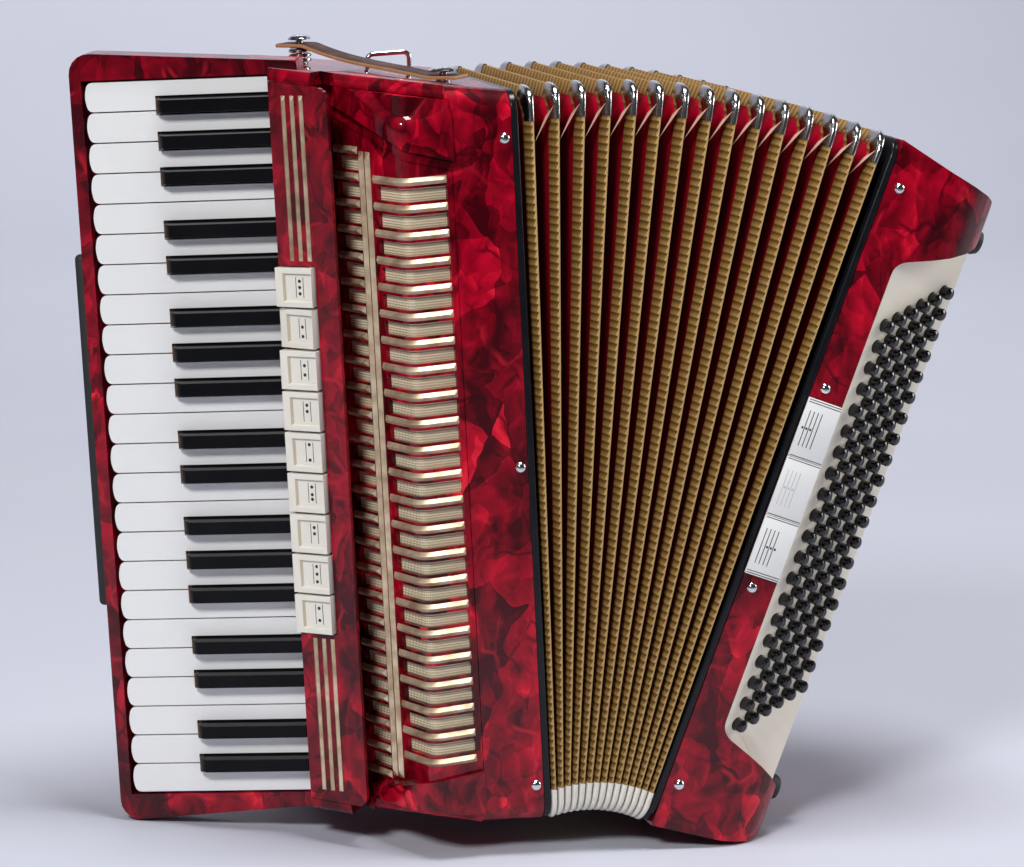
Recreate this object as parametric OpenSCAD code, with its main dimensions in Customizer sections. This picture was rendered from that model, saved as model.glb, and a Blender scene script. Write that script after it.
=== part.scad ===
/* [Case] */
// Height of the treble and bass cases at the bellows
case_h = 474; // [440:1:500]
// Depth of the instrument from the front wall to the back wall
case_d = 190; // [170:1:210]
// Thickness of the case walls
wall = 5; // [3:0.5:7]
// Width of the flat treble front wall beside the grille
front_w = 39; // [30:1:50]
// Rounding of the upper and lower front edges
edge_r = 14; // [6:1:20]
// How much the treble top rises from the bellows to the keyboard
top_rise = 18; // [0:1:24]
// How much the treble underside rises from the bellows to the keyboard
foot_rise = 10; // [0:1:14]

/* [Keyboard] */
// How much shorter the row of keys is than the case
key_room = 6; // [2:0.5:12]
// Number of keys, counted from the lowest note, an F
key_count = 41; // [37:1:41]
// Length of the white keys that shows
key_len = 118; // [105:1:125]
// Length of the black keys that shows
black_len = 71; // [60:1:78]
// Width of a black key at its foot
black_w = 10.6; // [9:0.1:11]
// Height of the black keys above the white ones
black_rise = 9; // [6:0.5:11]
// Thickness of the white keys
key_t = 9; // [7:0.5:10]
// Gap between neighbouring keys
key_gap = 0.9; // [0.5:0.1:1.5]
// Angle of the keyboard to the front wall
key_angle = 22.5; // [15:0.5:25]
// Thickness of the keyboard's end cheek at the outer side
cheek_t = 18; // [12:1:24]
// Width of the rim along the outer key ends
rim_w = 7.5; // [5:0.5:12]
// Travel of the white keys at their front ends
key_travel = 4.8; // [3:0.1:5.5]
// Thickness of the keyboard bed
bed_t = 9; // [6:0.5:12]
// Radius of the key axle
axle_r = 1.5; // [1.2:0.1:2]

/* [Grille] */
// Thickness of the grille cover
cover_t = 3; // [2:0.5:4]
// Number of bars across the grille's front
bar_count = 23; // [10:1:25]
// Height of one bar
bar_h = 5.2; // [3:0.2:6]
// How far a bar stands proud of the cover
bar_t = 2.6; // [1.5:0.1:3.5]
// Radius of the bend between the grille's side and its front
bend_r = 9; // [4:0.5:14]
// How far the hoods stand proud of the grille
hood_t = 3; // [1:0.5:4]
// Number of treble register switches
switch_count = 9; // [5:1:11]
// Height of one treble register switch with its gap
switch_pitch = 26.5; // [22:0.1:28]

/* [Bellows] */
// Number of folds
fold_count = 15; // [10:1:16]
// Thickness of the folded stack when it is closed
stack_w = 56; // [54:0.5:64]
// Depth of the folds
fold_depth = 24; // [16:1:28]
// Wall of the folds, measured across the depth
fold_wall = 5; // [3:0.5:7]
// Width of the taped ridge on each fold
ridge_w = 2; // [1.2:0.1:2.4]
// Thickness of the bellows frames
frame_t = 5; // [4:0.5:8]
// Width of the bellows frames
frame_w = 17; // [12:0.5:22]
// Corner radius of the frames and folds
corner_r = 14; // [10:1:20]
// Angle between the two cases as the bellows stand open
fan = 23.6; // [0:0.1:30]
// Distance of the fan's hinge from the treble case
hinge_x = 41; // [30:1:60]
// Distance of the fan's hinge below the treble case
hinge_drop = 19.5; // [0:0.5:30]

/* [Bass] */
// Thickness of the bass case
bass_w = 88; // [80:1:96]
// Radius of the rounded front edge of the bass case
bass_front_r = 40; // [30:1:46]
// Width of the bass front wall beside the button board
bass_front_w = 24; // [22:1:30]
// Number of button columns
column_count = 20; // [10:1:20]
// Distance between button columns
column_pitch = 14.63; // [13:0.1:14.7]
// Number of button rows
row_count = 6; // [2:1:6]
// Distance between button rows
row_pitch = 10.2; // [9.6:0.1:10.4]
// Radius of a bass button
button_r = 4.2; // [3:0.1:4.4]
// Height of a bass button above the board
button_h = 7; // [5:0.5:8]
// Travel of a bass button
button_travel = 3.5; // [2:0.5:4]
// Thickness of the button board
board_t = 3; // [2:0.5:4]
// Length of one bass register plate with its gap
plate_pitch = 40.5; // [32:0.5:42]
// Radius of a rubber foot
foot_r = 9; // [6:0.5:10]
// Height of a rubber foot
foot_h = 10; // [6:0.5:12]

/* [Hidden] */
$fn = 32;
red = "#8f0f1c";
black = "#15151a";
gold = "#b8893a";
ivory = "#efe6cf";
chrome = "#c8ccd0";
wood = "#c79c62";
leather = "#7a4a2a";

// Clearances between pieces
axle_clear = 0.05;
slip = 0.3;
bay_clear = 1;
key_end_clear = 1.2;

// Where the key tops meet the cover, seen from above, and the lowest key edge
key_root = [-138.5, 72.3];
key_lift = 19.6;

// Keyboard layout: a run of semitones from an F, equally spaced where the black keys are
black_notes = [1, 3, 5, 8, 10];
octave = 12;
octave_whites = 7;
function is_black(k) = len(search(k % octave, black_notes)) > 0;
function whites_before(k) = len([for (j = [0:1:k - 1]) if (!is_black(j)) j]);
white_count = whites_before(key_count);
key_pitch = (case_h - key_room) / white_count;
key_top = key_lift + white_count * key_pitch;
slot = key_pitch * octave_whites / octave;
slot_shift = -key_pitch / 24;
function slot_z(k) = key_top - slot_shift - (k + 0.5) * slot;

// Distances along the keys from the key root, and depths below the key tops
axle_a = 13;
axle_b = 5;
tail_a = 18;
bed_end = 20;
bed_seat = 4;
lever_t = 4;
lever_w = 3;
lever_b = 3;
crank_a = 21;
crank_t = 4;
low_lever_b = 18;
pallet_a = 42;
pallet_l = 36;
pallet_w = 9.4;
pallet_b = 28;
pallet_draw = 0.952;
key_r = 4;
key_bow = 2.4;
board_b = 36;
sound_t = 6;
sound_a = 26;
sound_l = 101;
key_front = -key_len;
bed_d = key_t + key_travel + 1.2;
white_dip = asin(key_travel / (key_len + axle_a));
black_dip = asin(0.8 * key_travel / (black_len + axle_a));
rim_a = key_front - key_end_clear - rim_w;
bed_back = bed_d + bed_t;
cheek_in = 8;
frame_r = 13;

// Treble case
slope_w = 126;
front_t = 4;
web_t = 7;
end_wall = 8;
function top_z(x) = case_h - x * top_rise / slope_w;
function foot_z(x) = -x * foot_rise / slope_w;
function kxy(a, b) = key_root + [a * cos(key_angle) + b * sin(key_angle),
                                 b * cos(key_angle) - a * sin(key_angle)];
function line_a(x, b) = (x - key_root[0] - b * sin(key_angle)) / cos(key_angle);
function line_y(x, b) = kxy(line_a(x, b), b)[1];
case_left = kxy(bed_seat, bed_back)[0];

// Register strip and grille, as a path seen from above from the keys to the front wall:
// the strip's plate stands free on its right side, over a valley in front of the grille's side
strip_a = 3.8;
strip_foot = -1.5;
strip_b = -17.4;
strip_tilt = -21;
strip_len = 42;
strip_t = 3;
strip_r = 7;
black_end = strip_a - 1.6;
block_x = 30;
floor_b = 12;
valley_a = 31.5;
wall_a = 37.5;
seam = 0.3;
end_t = 8;
bend_steps = 5;
function sxy(x, y) = kxy(strip_a + x * cos(strip_tilt) - y * sin(strip_tilt),
                         strip_b + x * sin(strip_tilt) + y * cos(strip_tilt));
wall_foot = kxy(wall_a, floor_b);
bend_at = [-front_w - 33.4, -3];
panel_end = [-front_w - seam, 0.5];
bend_pts = arc_at(wall_foot, bend_at, panel_end, bend_r, bend_steps);
front_path = concat([wall_foot], bend_pts, [panel_end]);
cover_path = concat([kxy(strip_a, strip_foot), sxy(0, 0), sxy(strip_len, 0), sxy(strip_len, strip_t),
    sxy(block_x, strip_t), kxy(valley_a, floor_b)], front_path);
function on_wall(d) = toward(wall_foot, bend_at, d);
bar_end = toward(panel_end, bend_at, 4);
slat_span = [1, 28.5];
post_at = [32.5, 39.3];
post_w = 5.4;
bar_from = 44;
bar_low = 48.9;
bar_pitch = (case_h - 51.6 - bar_low) / (bar_count - 1);
win_rim = 1.6;
function bar_z(i) = bar_low + i * bar_pitch;
switch_mid = 250;
switch_z0 = switch_mid - switch_count * switch_pitch / 2;
switch_span = switch_count * switch_pitch;
switch_gap = 1.6;
switch_x0 = -1;
switch_x1 = 26;
rocker_x = 23;
rocker_y = 1.5;
rocker_r = 1;
switch_press = 9;
switch_swing = 6;
switch_drop = 4.6 + (rocker_x - switch_x0) * sin(switch_press + switch_swing);
pressed_switch = switch_count - 2;

// Bellows
closed_w = stack_w + 2 * frame_t;
hinge_z = -hinge_drop;
fold_in = 0.5;
cap_w = 3.2;
cap_t = 1;
cap_leg = 6;
ring_steps = 4;

// Bass case
board_y = bass_front_r;
board_tilt = atan2(board_y, bass_w - bass_front_w);
board_w = norm([bass_w - bass_front_w, board_y]);
board_low = 72;
board_low_out = 39;
board_high = case_h - 76;
board_high_out = case_h - 40;
ledge = 5;
button_x0 = 12.5;
row_shift = 6.76;
button_top = 357.6;
collar_r = 5.2;
collar_t = 1.5;
stem_l = collar_t + button_travel + 1;
plate_count = 3;
plate_mid = 237.7;
plate_u0 = 3;
plate_u1 = 22.6;
plate_t = 2.5;
plate_lift = 2.2;
plate_gap = 1.2;
stem_u = 9;
stem_w = 5;
stem_h = 16;
foot_inset = 52;
foot_back = 160;
foot_low = 40;
foot_high = case_h - 44;
stud_r = 3.5;
stud_x = 5;
bass_stud_u = 8.3;
stud_h = 3;
shank_r = 1.5;

// How the instrument stands: on the outer lower corner of the keyboard and the lower bass corner
bass_drop = [50, 3.5];
bass_corner = [bass_w - 7, 9];
function spin(p, a) = [p[0] * cos(a) + p[1] * sin(a), p[1] * cos(a) - p[0] * sin(a)];
function bass_pt(u, v) = [hinge_x, hinge_z] + spin([closed_w + u - hinge_x, v - hinge_z], fan);
key_corner = [kxy(rim_a + frame_r / 2, -1)[0], key_lift - bay_clear - cheek_t];
bass_low = bass_pt(bass_corner[0], bass_corner[1]);
lean = atan2(key_corner[1] - bass_low[1], bass_low[0] - key_corner[0]);
function stood(p) = spin(p, -lean);
floor_lift = -stood(key_corner)[1];
left_end = stood([kxy(rim_a, -1)[0], key_top + bay_clear + cheek_t - frame_r])[0];
right_end = stood(bass_pt(bass_w + foot_h, foot_high + foot_r))[0];
origin_x = -(left_end + right_end) / 2;
origin_y = -case_d / 2;

function unit(v) = v / norm(v);
function arc_at(p, q, s, r, n) =
    let (a = unit(p - q), b = unit(s - q), half = acos(a * b) / 2, w = 180 - 2 * half)
    let (c = q + unit(a + b) * r / sin(half), t = r / tan(half))
    let (d0 = unit(q + a * t - c), d1 = unit(q + b * t - c))
    [for (i = [0:n]) c + r * (sin((1 - i / n) * w) * d0 + sin(i / n * w) * d1) / sin(w)];
function xy(p) = [p[0], p[1]];
// A polygon whose corners carry their own radius as a third number
function rounded(pts, n = 5) =
    let (m = len(pts))
    [for (i = [0:m - 1]) each pts[i][2] > 0
        ? arc_at(xy(pts[(i + m - 1) % m]), xy(pts[i]), xy(pts[(i + 1) % m]), pts[i][2], n)
        : [xy(pts[i])]];
function side(v) = [-v[1], v[0]];
function mitre(p, d, u0, u1) = p + side(unit(u0 + u1)) * d / (unit(u0 + u1) * u1);
// An open path moved sideways by d, to its left as it runs
function shifted(path, d) =
    let (m = len(path) - 1)
    [for (i = [0:m]) let (u0 = unit(path[max(i, 1)] - path[max(i, 1) - 1]),
                          u1 = unit(path[min(i + 1, m)] - path[min(i, m - 1)]))
        mitre(path[i], d, u0, u1)];
function reversed(list) = [for (i = [len(list) - 1:-1:0]) list[i]];
function band(path, d0, d1) = concat(shifted(path, d0), reversed(shifted(path, d1)));
function toward(p, q, d) = p + unit(q - p) * d;
function box_pts(x0, y0, x1, y1, r) = [[x0, y0, r], [x1, y0, r], [x1, y1, r], [x0, y1, r]];

module on_treble() translate([origin_x, origin_y, floor_lift]) rotate([0, -lean, 0]) children();
module on_keys() on_treble() translate([key_root[0], key_root[1], 0]) rotate([0, 0, -key_angle]) children();
module on_strip() on_keys() translate([strip_a, strip_b, 0]) rotate([0, 0, strip_tilt]) children();
module on_hinge(a) on_treble() translate([hinge_x, 0, hinge_z]) rotate([0, a, 0])
    translate([-hinge_x, 0, -hinge_z]) children();
module on_bass() on_hinge(fan) translate([closed_w, 0, 0]) children();
module on_board() on_bass() translate([bass_front_w, 0, 0]) rotate([0, 0, board_tilt]) children();
// A front outline carried from y0 back to y1
module front_slab(pts, y0, y1) translate([0, y1, 0]) rotate([90, 0, 0])
    linear_extrude(y1 - y0) polygon(pts);
// A side outline carried from x0 to x1
module side_slab(pts, x0, x1) translate([x0, 0, 0]) rotate([90, 0, 90])
    linear_extrude(x1 - x0) polygon(pts);
module up(z0, z1) translate([0, 0, z0]) linear_extrude(z1 - z0) children();
// What is cut off to round a front edge that runs along x
module edge_cut(r, x0, x1) difference() {
    translate([x0, -1, -r]) cube([x1 - x0, r + 1, r + 1]);
    translate([x0 - 1, r, -r]) rotate([0, 90, 0]) cylinder(h = x1 - x0 + 2, r = r);
}

// Outline of the treble case seen from above
case_plan = [
    [0, 0], [-front_w, 0], [-front_w, front_t], [-web_t, front_t],
    [-web_t, line_y(-web_t, board_b)], kxy(bed_end, board_b), kxy(bed_end, bed_back), kxy(bed_seat, bed_back),
    [case_left, case_d - edge_r / 2], [case_left + edge_r / 2, case_d], [0, case_d]
];
// The reed chamber, open to the bellows and closed in front by the sound board
chamber_plan = [
    [1, line_y(0, board_b + sound_t) + 1], [1, case_d - wall], [case_left + wall, case_d - wall],
    [case_left + wall, kxy(bed_seat, bed_back)[1] + wall], kxy(sound_a, board_b + sound_t + wall),
    kxy(sound_a, board_b - 2), kxy(sound_a + sound_l, board_b - 2),
    kxy(sound_a + sound_l, board_b + sound_t + 1)
];
function case_front(inset, x1) = [
    [x1, inset + foot_z(x1)], [x1, top_z(x1) - inset],
    [case_left - 30, top_z(case_left - 30) - inset], [case_left - 30, foot_z(case_left - 30) + inset]
];

module stud_at(x, y, z, dir) translate([x, y, z]) rotate([90 * dir, 0, 0]) {
    translate([0, 0, -wall]) cylinder(h = wall + 1, r = shank_r);
    rotate_extrude() polygon([[0, 0], [stud_r, 0], [stud_r, stud_h * 0.4], [stud_r * 0.75, stud_h * 0.8],
        [stud_r * 0.35, stud_h], [0, stud_h]]);
}
stud_zs = [for (i = [0:2]) 25.6 + i * (case_h - 55) / 2];
bass_stud_zs = [for (i = [0:3]) 31 + i * (case_h - 61) / 3];
module shank_hole(x, y, z) translate([x, y, z]) rotate([90, 0, 0])
    cylinder(h = 4 * wall, r = shank_r + axle_clear, center = true);

loop_x = -46;
loop_y = 125;
loop_r = 14;
loop_h = 13;
loop_bend = 4;
wire_r = 1.6;
loop_seat = 6;
post_l = [-103, 131];
post_r = [-29, 50];
post_rad = 2.5;
post_h = 13;
low_post_h = 4;
module loop_legs(r, drop) for (s = [-1, 1])
    translate([loop_x + s * loop_r, loop_y, top_z(loop_x + loop_r) - loop_seat - drop])
        cylinder(h = loop_seat + loop_h - loop_bend + drop, r = r);
module loop_top() translate([loop_x, loop_y, top_z(loop_x + loop_r) + loop_h - loop_bend]) {
    for (s = [0, 1]) mirror([s, 0, 0]) translate([loop_r - loop_bend, 0, 0]) rotate([90, 0, 0])
        rotate_extrude(angle = 90) translate([loop_bend, 0]) circle(r = wire_r);
    translate([loop_bend - loop_r, 0, loop_bend]) rotate([0, 90, 0])
        cylinder(h = 2 * (loop_r - loop_bend), r = wire_r);
}

// Outline of the end plates, which close the grille above and below
hood_left = wall_foot + [-1, -22];
hood_right = [-front_w - 3, 1.5];
plate_a = crank_a + crank_t + 8;
end_plan = [
    [0, 0], [-front_w, 0], hood_right, hood_left, kxy(valley_a + 3, 4), sxy(block_x, 0), sxy(0, 0),
    kxy(strip_a, strip_foot), kxy(plate_a, strip_foot), kxy(plate_a, board_b),
    [-web_t, line_y(-web_t, board_b)], [0, line_y(0, board_b)]
];
// A sill that closes the slot between the keyboard and the end plates
sill_a = plate_a + 1;
sill_plan = [kxy(bed_end + slip, strip_foot), kxy(sill_a, strip_foot), kxy(sill_a, board_b + 1),
    kxy(bed_end + slip, board_b + 1)];
plate_r = 7;
// Rounds the upper and lower front edges of the end plates from p to q, with the front to the right
module round_edges(p, q, r) {
    turn = atan2(q[1] - p[1], q[0] - p[0]);
    translate([p[0], p[1], top_z(p[0])]) rotate([0, 0, turn])
        rotate([0, atan(cos(turn) * top_rise / slope_w), 0]) edge_cut(r, -2, norm(q - p) + 2);
    translate([p[0], p[1], foot_z(p[0])]) rotate([0, 0, turn])
        rotate([0, atan(cos(turn) * foot_rise / slope_w), 0]) mirror([0, 0, 1])
            edge_cut(r, -2, norm(q - p) + 2);
}
// The same outline as a plate along the sloping top and another along the sloping foot
module end_pair(t) intersection() {
    up(-1, case_h + 2 * top_rise) children();
    difference() {
        front_slab(case_front(0, 0), -1, case_d);
        front_slab(case_front(t, 1), -2, case_d + 1);
    }
}
module treble_case() color(red) on_treble() difference() {
    union() {
        intersection() {
            up(-1, case_h + 2 * top_rise) polygon(case_plan);
            front_slab(case_front(0, 0), -1, case_d + 1);
        }
        end_pair(end_t) polygon(end_plan);
        end_pair(cover_t) polygon(sill_plan);
    }
    up(end_wall, case_h - end_wall) polygon(chamber_plan);
    round_edges([-front_w, 0], [0, 0], edge_r);
    round_edges(hood_left, hood_right, plate_r);
    round_edges(sxy(0, 0), sxy(block_x, 0), plate_r);
    for (z = stud_zs, y = [0, case_d]) shank_hole(-stud_x, y, z);
    loop_legs(wire_r + axle_clear, 0);
}

frame_pts = [
    [rim_a, key_lift - bay_clear - cheek_t, frame_r],
    [rim_a, key_top + bay_clear + cheek_t, frame_r],
    [bed_end, key_top + bay_clear + cheek_in, 0], [bed_end, key_lift - bay_clear - cheek_in, 0]
];
module keyboard_frame() color(red) on_keys() difference() {
    front_slab(rounded(frame_pts), -1, bed_back);
    translate([key_front - key_end_clear, -2, key_lift - bay_clear])
        cube([bed_end - key_front + key_end_clear + 1, bed_d + 2, key_top - key_lift + 2 * bay_clear]);
    translate([axle_a, axle_b, key_lift - cheek_in])
        cylinder(h = key_top - key_lift + 2 * cheek_in, r = axle_r + axle_clear);
}

cover_plan = concat(cover_path, [
    [panel_end[0], front_t + seam], [-web_t - seam, front_t + seam],
    [-web_t - seam, line_y(-web_t, board_b - seam)], kxy(bed_end + 1, board_b - seam), kxy(bed_end + 1, -4)
]);
inner_path = shifted(front_path, cover_t);
hollow_plan = concat(
    [kxy(strip_a + cover_t, 60), sxy(cover_t * (1 + sin(strip_tilt)) / cos(strip_tilt), cover_t),
     sxy(block_x - cover_t, cover_t), kxy(valley_a - cover_t, floor_b + cover_t),
     kxy(wall_a + 1.3, floor_b + cover_t)],
    [for (i = [1:len(inner_path) - 1]) inner_path[i]], [[10, cover_t + panel_end[1]], [10, case_d / 2]]);
// The hoods over and under the grille: from the end plates they lean out to a lip, seen here from the front
lip_edge = 1.2;
lip_end = 1 - front_w;
lip_high = [[wall_foot[0] - lip_edge, case_h - 7], [bend_at[0], case_h - 31], [lip_end, case_h - 40.6]];
lip_low = [[wall_foot[0] - lip_edge, 21.8], [bend_at[0] - 8, 34], [bend_at[0], 37.3], [lip_end, 40.2]];
hood_back = [panel_end + [0, 30], wall_foot + [8, 8]];
// Heights between which each hood is drawn out fully, and where it meets its end plate
high_far = [case_h - 60, case_h - 17];
high_near = [case_h - 2, case_h + 12];
low_far = [20, 50];
low_near = [-8, 12];
hood_past = 60;
hood_near = concat([hood_left, hood_right], hood_back);
hood_far = concat(shifted(front_path, -hood_t), hood_back);
module hood(lip, far_z, near_z, off) intersection() {
    hull() {
        up(near_z[0], near_z[1]) polygon(hood_near);
        up(far_z[0], far_z[1]) polygon(hood_far);
    }
    front_slab(concat([[case_left, lip[0][1]]], lip, [[lip_end, off], [case_left, off]]),
        -hood_past, case_d / 2);
}
module window(path, z0, z1) up(z0, z1) polygon(band(path, -2 * cover_t, 2 * cover_t));
side_window = [on_wall(slat_span[0] + 4), on_wall(slat_span[1] + 1)];
front_window = concat([on_wall(bar_from + 4)], bend_pts, [bar_end]);
win_gap = bar_h / 2 + win_rim;
strip_corner = sxy(strip_len, 0)[0];
// What is cut off a corner of the strip's plate: s is 1 above and -1 below
module strip_round(z, s) difference() {
    translate([strip_len - strip_r, -1, s > 0 ? z - strip_r : z - 1])
        cube([strip_r + 1, strip_t + 2, strip_r + 1]);
    translate([strip_len - strip_r, -2, z - s * strip_r]) rotate([-90, 0, 0])
        cylinder(h = strip_t + 4, r = strip_r);
}
module grille_cover() color(red) difference() {
    on_treble() difference() {
        intersection() {
            union() {
                up(-1, case_h + 2 * top_rise) polygon(cover_plan);
                hood(lip_high, high_far, high_near, case_h + hood_past);
                hood(lip_low, low_far, low_near, -hood_past);
            }
            front_slab(case_front(end_t + seam, wall), -hood_past, case_d);
        }
        up(-1, case_h + 2 * top_rise) polygon(hollow_plan);
        for (i = [0:bar_count - 2]) window(front_window, bar_z(i) + win_gap, bar_z(i + 1) - win_gap);
        for (i = [-1:bar_count - 1]) window(side_window, bar_z(i) + win_gap, bar_z(i + 1) - win_gap);
    }
    on_strip() {
        translate([switch_x0 - 1, -cover_t, switch_z0])
            cube([switch_x1 - switch_x0 + 1.9, cover_t + switch_drop, switch_span]);
        translate([rocker_x, rocker_y, switch_z0 - 2 * cover_t])
            cylinder(h = switch_span + 4 * cover_t, r = rocker_r + axle_clear);
        strip_round(top_z(strip_corner) - end_t - seam, 1);
        strip_round(foot_z(strip_corner) + end_t + seam, -1);
    }
}

// A bar along a path seen from above: flat behind, with an edge in front and hipped ends
module ridged_bar(path, h, t) {
    n = len(path) - 1;
    crest = shifted(concat([toward(path[0], path[1], t)], [for (i = [1:1:n - 1]) path[i]],
        [toward(path[n], path[n - 1], t)]), -t);
    pts = [for (i = [0:n]) each [[path[i][0], path[i][1], -h / 2], [path[i][0], path[i][1], h / 2],
        [crest[i][0], crest[i][1], 0]]];
    sides = [for (i = [0:3:3 * n - 3]) each [[i + 1, i + 4, i + 5, i + 2], [i + 2, i + 5, i + 3, i],
        [i + 4, i + 1, i, i + 3]]];
    polyhedron(pts, concat(sides, [[0, 1, 2], [3 * n, 3 * n + 2, 3 * n + 1]]));
}
// An upright bar of the same kind
module ridged_post(l, w, t) polyhedron(
    [[-w / 2, 0, 0], [w / 2, 0, 0], [w / 2, 0, l], [-w / 2, 0, l], [0, -t, w], [0, -t, l - w]],
    [[2, 3, 0, 1], [3, 5, 4, 0], [5, 2, 1, 4], [0, 4, 1], [3, 2, 5]]);
strip_rods = 3;
rod_x = 10.5;
rod_pitch = 6.4;
rod_w = 3.4;
rod_low = 26;
wall_turn = atan2(bend_at[1] - wall_foot[1], bend_at[0] - wall_foot[0]);
module grille_bars() color(gold) {
    on_treble() {
        for (i = [0:bar_count - 1]) translate([0, 0, bar_z(i)])
            ridged_bar(concat([on_wall(bar_from)], bend_pts, [bar_end]), bar_h, bar_t);
        for (i = [-1:bar_count]) translate([0, 0, bar_z(i)])
            ridged_bar([on_wall(slat_span[0]), on_wall(slat_span[1])], bar_h, bar_t);
        for (d = post_at) translate([on_wall(d)[0], on_wall(d)[1], bar_z(-1)]) rotate([0, 0, wall_turn])
            ridged_post(bar_z(bar_count) - bar_z(-1), post_w, bar_t);
    }
    on_strip() for (i = [0:strip_rods - 1]) translate([rod_x + i * rod_pitch, 0, 0]) {
        translate([0, 0, switch_z0 + switch_span + 3])
            ridged_post(case_h - switch_z0 - switch_span, rod_w, rod_w / 2);
        translate([0, 0, rod_low]) ridged_post(switch_z0 - 3 - rod_low, rod_w, rod_w / 2);
    }
}

mesh_t = 1;
mesh_path = concat([on_wall(slat_span[0] + 2)], bend_pts, [toward(panel_end, bend_at, cover_t + mesh_t)]);
module grille_mesh() color("#8a6a34") on_treble() up(bar_z(-1), bar_z(bar_count))
    polygon(band(mesh_path, cover_t, cover_t + mesh_t));

module treble_switch() difference() {
    linear_extrude(switch_pitch - switch_gap) polygon([
        [switch_x0, 4], [switch_x0, -3], [switch_x0 + 1, -4], [switch_x0 + 6, -2.6],
        [rocker_x - 6, -2.8], [rocker_x - 1, -4.6], [switch_x1, -4.2], [switch_x1, 4]]);
    translate([rocker_x, rocker_y, -1]) cylinder(h = switch_pitch, r = rocker_r + axle_clear);
}
module treble_switches() color(ivory) on_strip() for (i = [0:switch_count - 1])
    translate([rocker_x, rocker_y, switch_z0 + i * switch_pitch + switch_gap / 2])
        rotate([0, 0, i == pressed_switch ? -switch_press : 0])
            translate([-rocker_x, -rocker_y, 0]) treble_switch();

module treble_hardware() color(chrome) {
    on_keys() translate([axle_a, axle_b, key_lift - cheek_in + axle_clear])
        cylinder(h = key_top - key_lift + 2 * cheek_in - 2 * axle_clear, r = axle_r);
    on_strip() translate([rocker_x, rocker_y, switch_z0 - 2 * cover_t + axle_clear])
        cylinder(h = switch_span + 4 * cover_t - 2 * axle_clear, r = rocker_r);
    on_treble() {
        for (z = stud_zs) {
            stud_at(-stud_x, 0, z, 1);
            stud_at(-stud_x, case_d, z, -1);
        }
        loop_legs(wire_r, -axle_clear);
        loop_top();
        for (p = [post_l, post_r]) translate([p[0], p[1], top_z(p[0])])
            strap_post(p == post_l ? post_h : low_post_h);
    }
}
// A snap post: a seat that lies on the sloping top, a stem and a domed head
module strap_post(h) {
    rotate([0, atan(top_rise / slope_w), 0]) cylinder(h = 1, r = 2 * post_rad);
    translate([0, 0, 0.5]) cylinder(h = h + strap_t + slip - 0.5, r = post_rad);
    translate([0, 0, h + strap_t + slip])
        rotate_extrude() polygon([[0, 0], [5.5, 0], [5, 1.6], [3, 2.6], [1, 3], [0, 3]]);
}

pad_l = 233;
pad_z = 140;
pad_w = 22;
pad_t = 6;
pad_out = 5;
module leg_rest_pad() color(black) on_keys()
    front_slab(rounded(box_pts(rim_a - pad_out, pad_z, rim_a - pad_out + pad_w, pad_z + pad_l, 9)),
        bed_back, bed_back + pad_t);

strap_w = 17;
strap_t = 2.4;
strap_tip = 14;
strap_run_v = post_r - post_l;
strap_l = norm(strap_run_v);
strap_steps = 12;
// Height of the strap's underside, from the tall post down to the low one, sagging between them
strap_z0 = top_z(post_l[0]) + post_h;
strap_z1 = top_z(post_r[0]) + low_post_h;
strap_sag = 16;
function strap_z(f) =
    strap_z0 + (strap_z1 - strap_z0) * f - strap_sag * f * (1 - f) * (1 - f);
// The strap lies level under the heads of the posts
strap_flat = 8;
strap_path = concat([[-strap_tip, strap_z0]],
    [for (i = [0:strap_steps])
        [strap_flat + (strap_l - 2 * strap_flat) * i / strap_steps, strap_z(i / strap_steps)]],
    [[strap_l + strap_tip, strap_z1]]);
module bellows_strap() color(leather) on_treble() translate([post_l[0], post_l[1], 0])
    rotate([0, 0, atan2(strap_run_v[1], strap_run_v[0])]) difference() {
        front_slab(band(strap_path, 0, strap_t), -strap_w / 2, strap_w / 2);
        for (s = [0, strap_l]) translate([s, 0, case_h - 20]) cylinder(h = 100, r = post_rad + slip);
    }

block_t = 16;
block_h = 48;
block_gap = 30;
block_count = 3;
module treble_reed_blocks() color(wood) on_keys() {
    translate([sound_a, board_b, end_wall]) cube([sound_l, sound_t, case_h - 2 * end_wall]);
    for (i = [0:block_count - 1])
        translate([sound_a + 8 + i * block_gap, board_b + sound_t, 2 * end_wall])
            cube([block_t, block_h, case_h - 4 * end_wall]);
}

// A closed ring of points in the y and z plane, drawn in from the case outline
function ring(inset, r) = rounded(box_pts(inset, inset, case_d - inset, case_h - inset, r), ring_steps);
module bellows_frame() difference() {
    side_slab(ring(0, corner_r), 0, frame_t);
    side_slab(ring(frame_w, corner_r / 2), -1, frame_t + 1);
}
module treble_bellows_frame() color(black) on_treble() bellows_frame();
module bass_bellows_frame() color(black) on_hinge(fan) translate([closed_w - frame_t, 0, 0]) bellows_frame();

// Each ring of the folds: place in the closed stack, share of the fan angle, and depth
fold_pitch = stack_w / fold_count;
function valley_at(i) = [frame_t + i * fold_pitch, i / fold_count, fold_depth];
function ridge_at(i, s) =
    [frame_t + (i + 0.5) * fold_pitch + s * ridge_w / 2, (i + 0.5) / fold_count, fold_in];
fold_rings = concat(
    [for (i = [0:fold_count - 1]) each [valley_at(i), ridge_at(i, -1), ridge_at(i, 1)]],
    [valley_at(fold_count)]);
function fold_pt(x, share, y, z) =
    let (p = [hinge_x, hinge_z] + spin([x - hinge_x, z - hinge_z], fan * share)) [p[0], y, p[1]];
function fold_ring(r, extra) = [for (p = ring(r[2] + extra, corner_r / (r[2] > fold_in ? 2 : 1)))
    fold_pt(r[0], r[1], p[0], p[1])];
ring_n = 4 * (ring_steps + 1);
ring_m = len(fold_rings);
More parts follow.
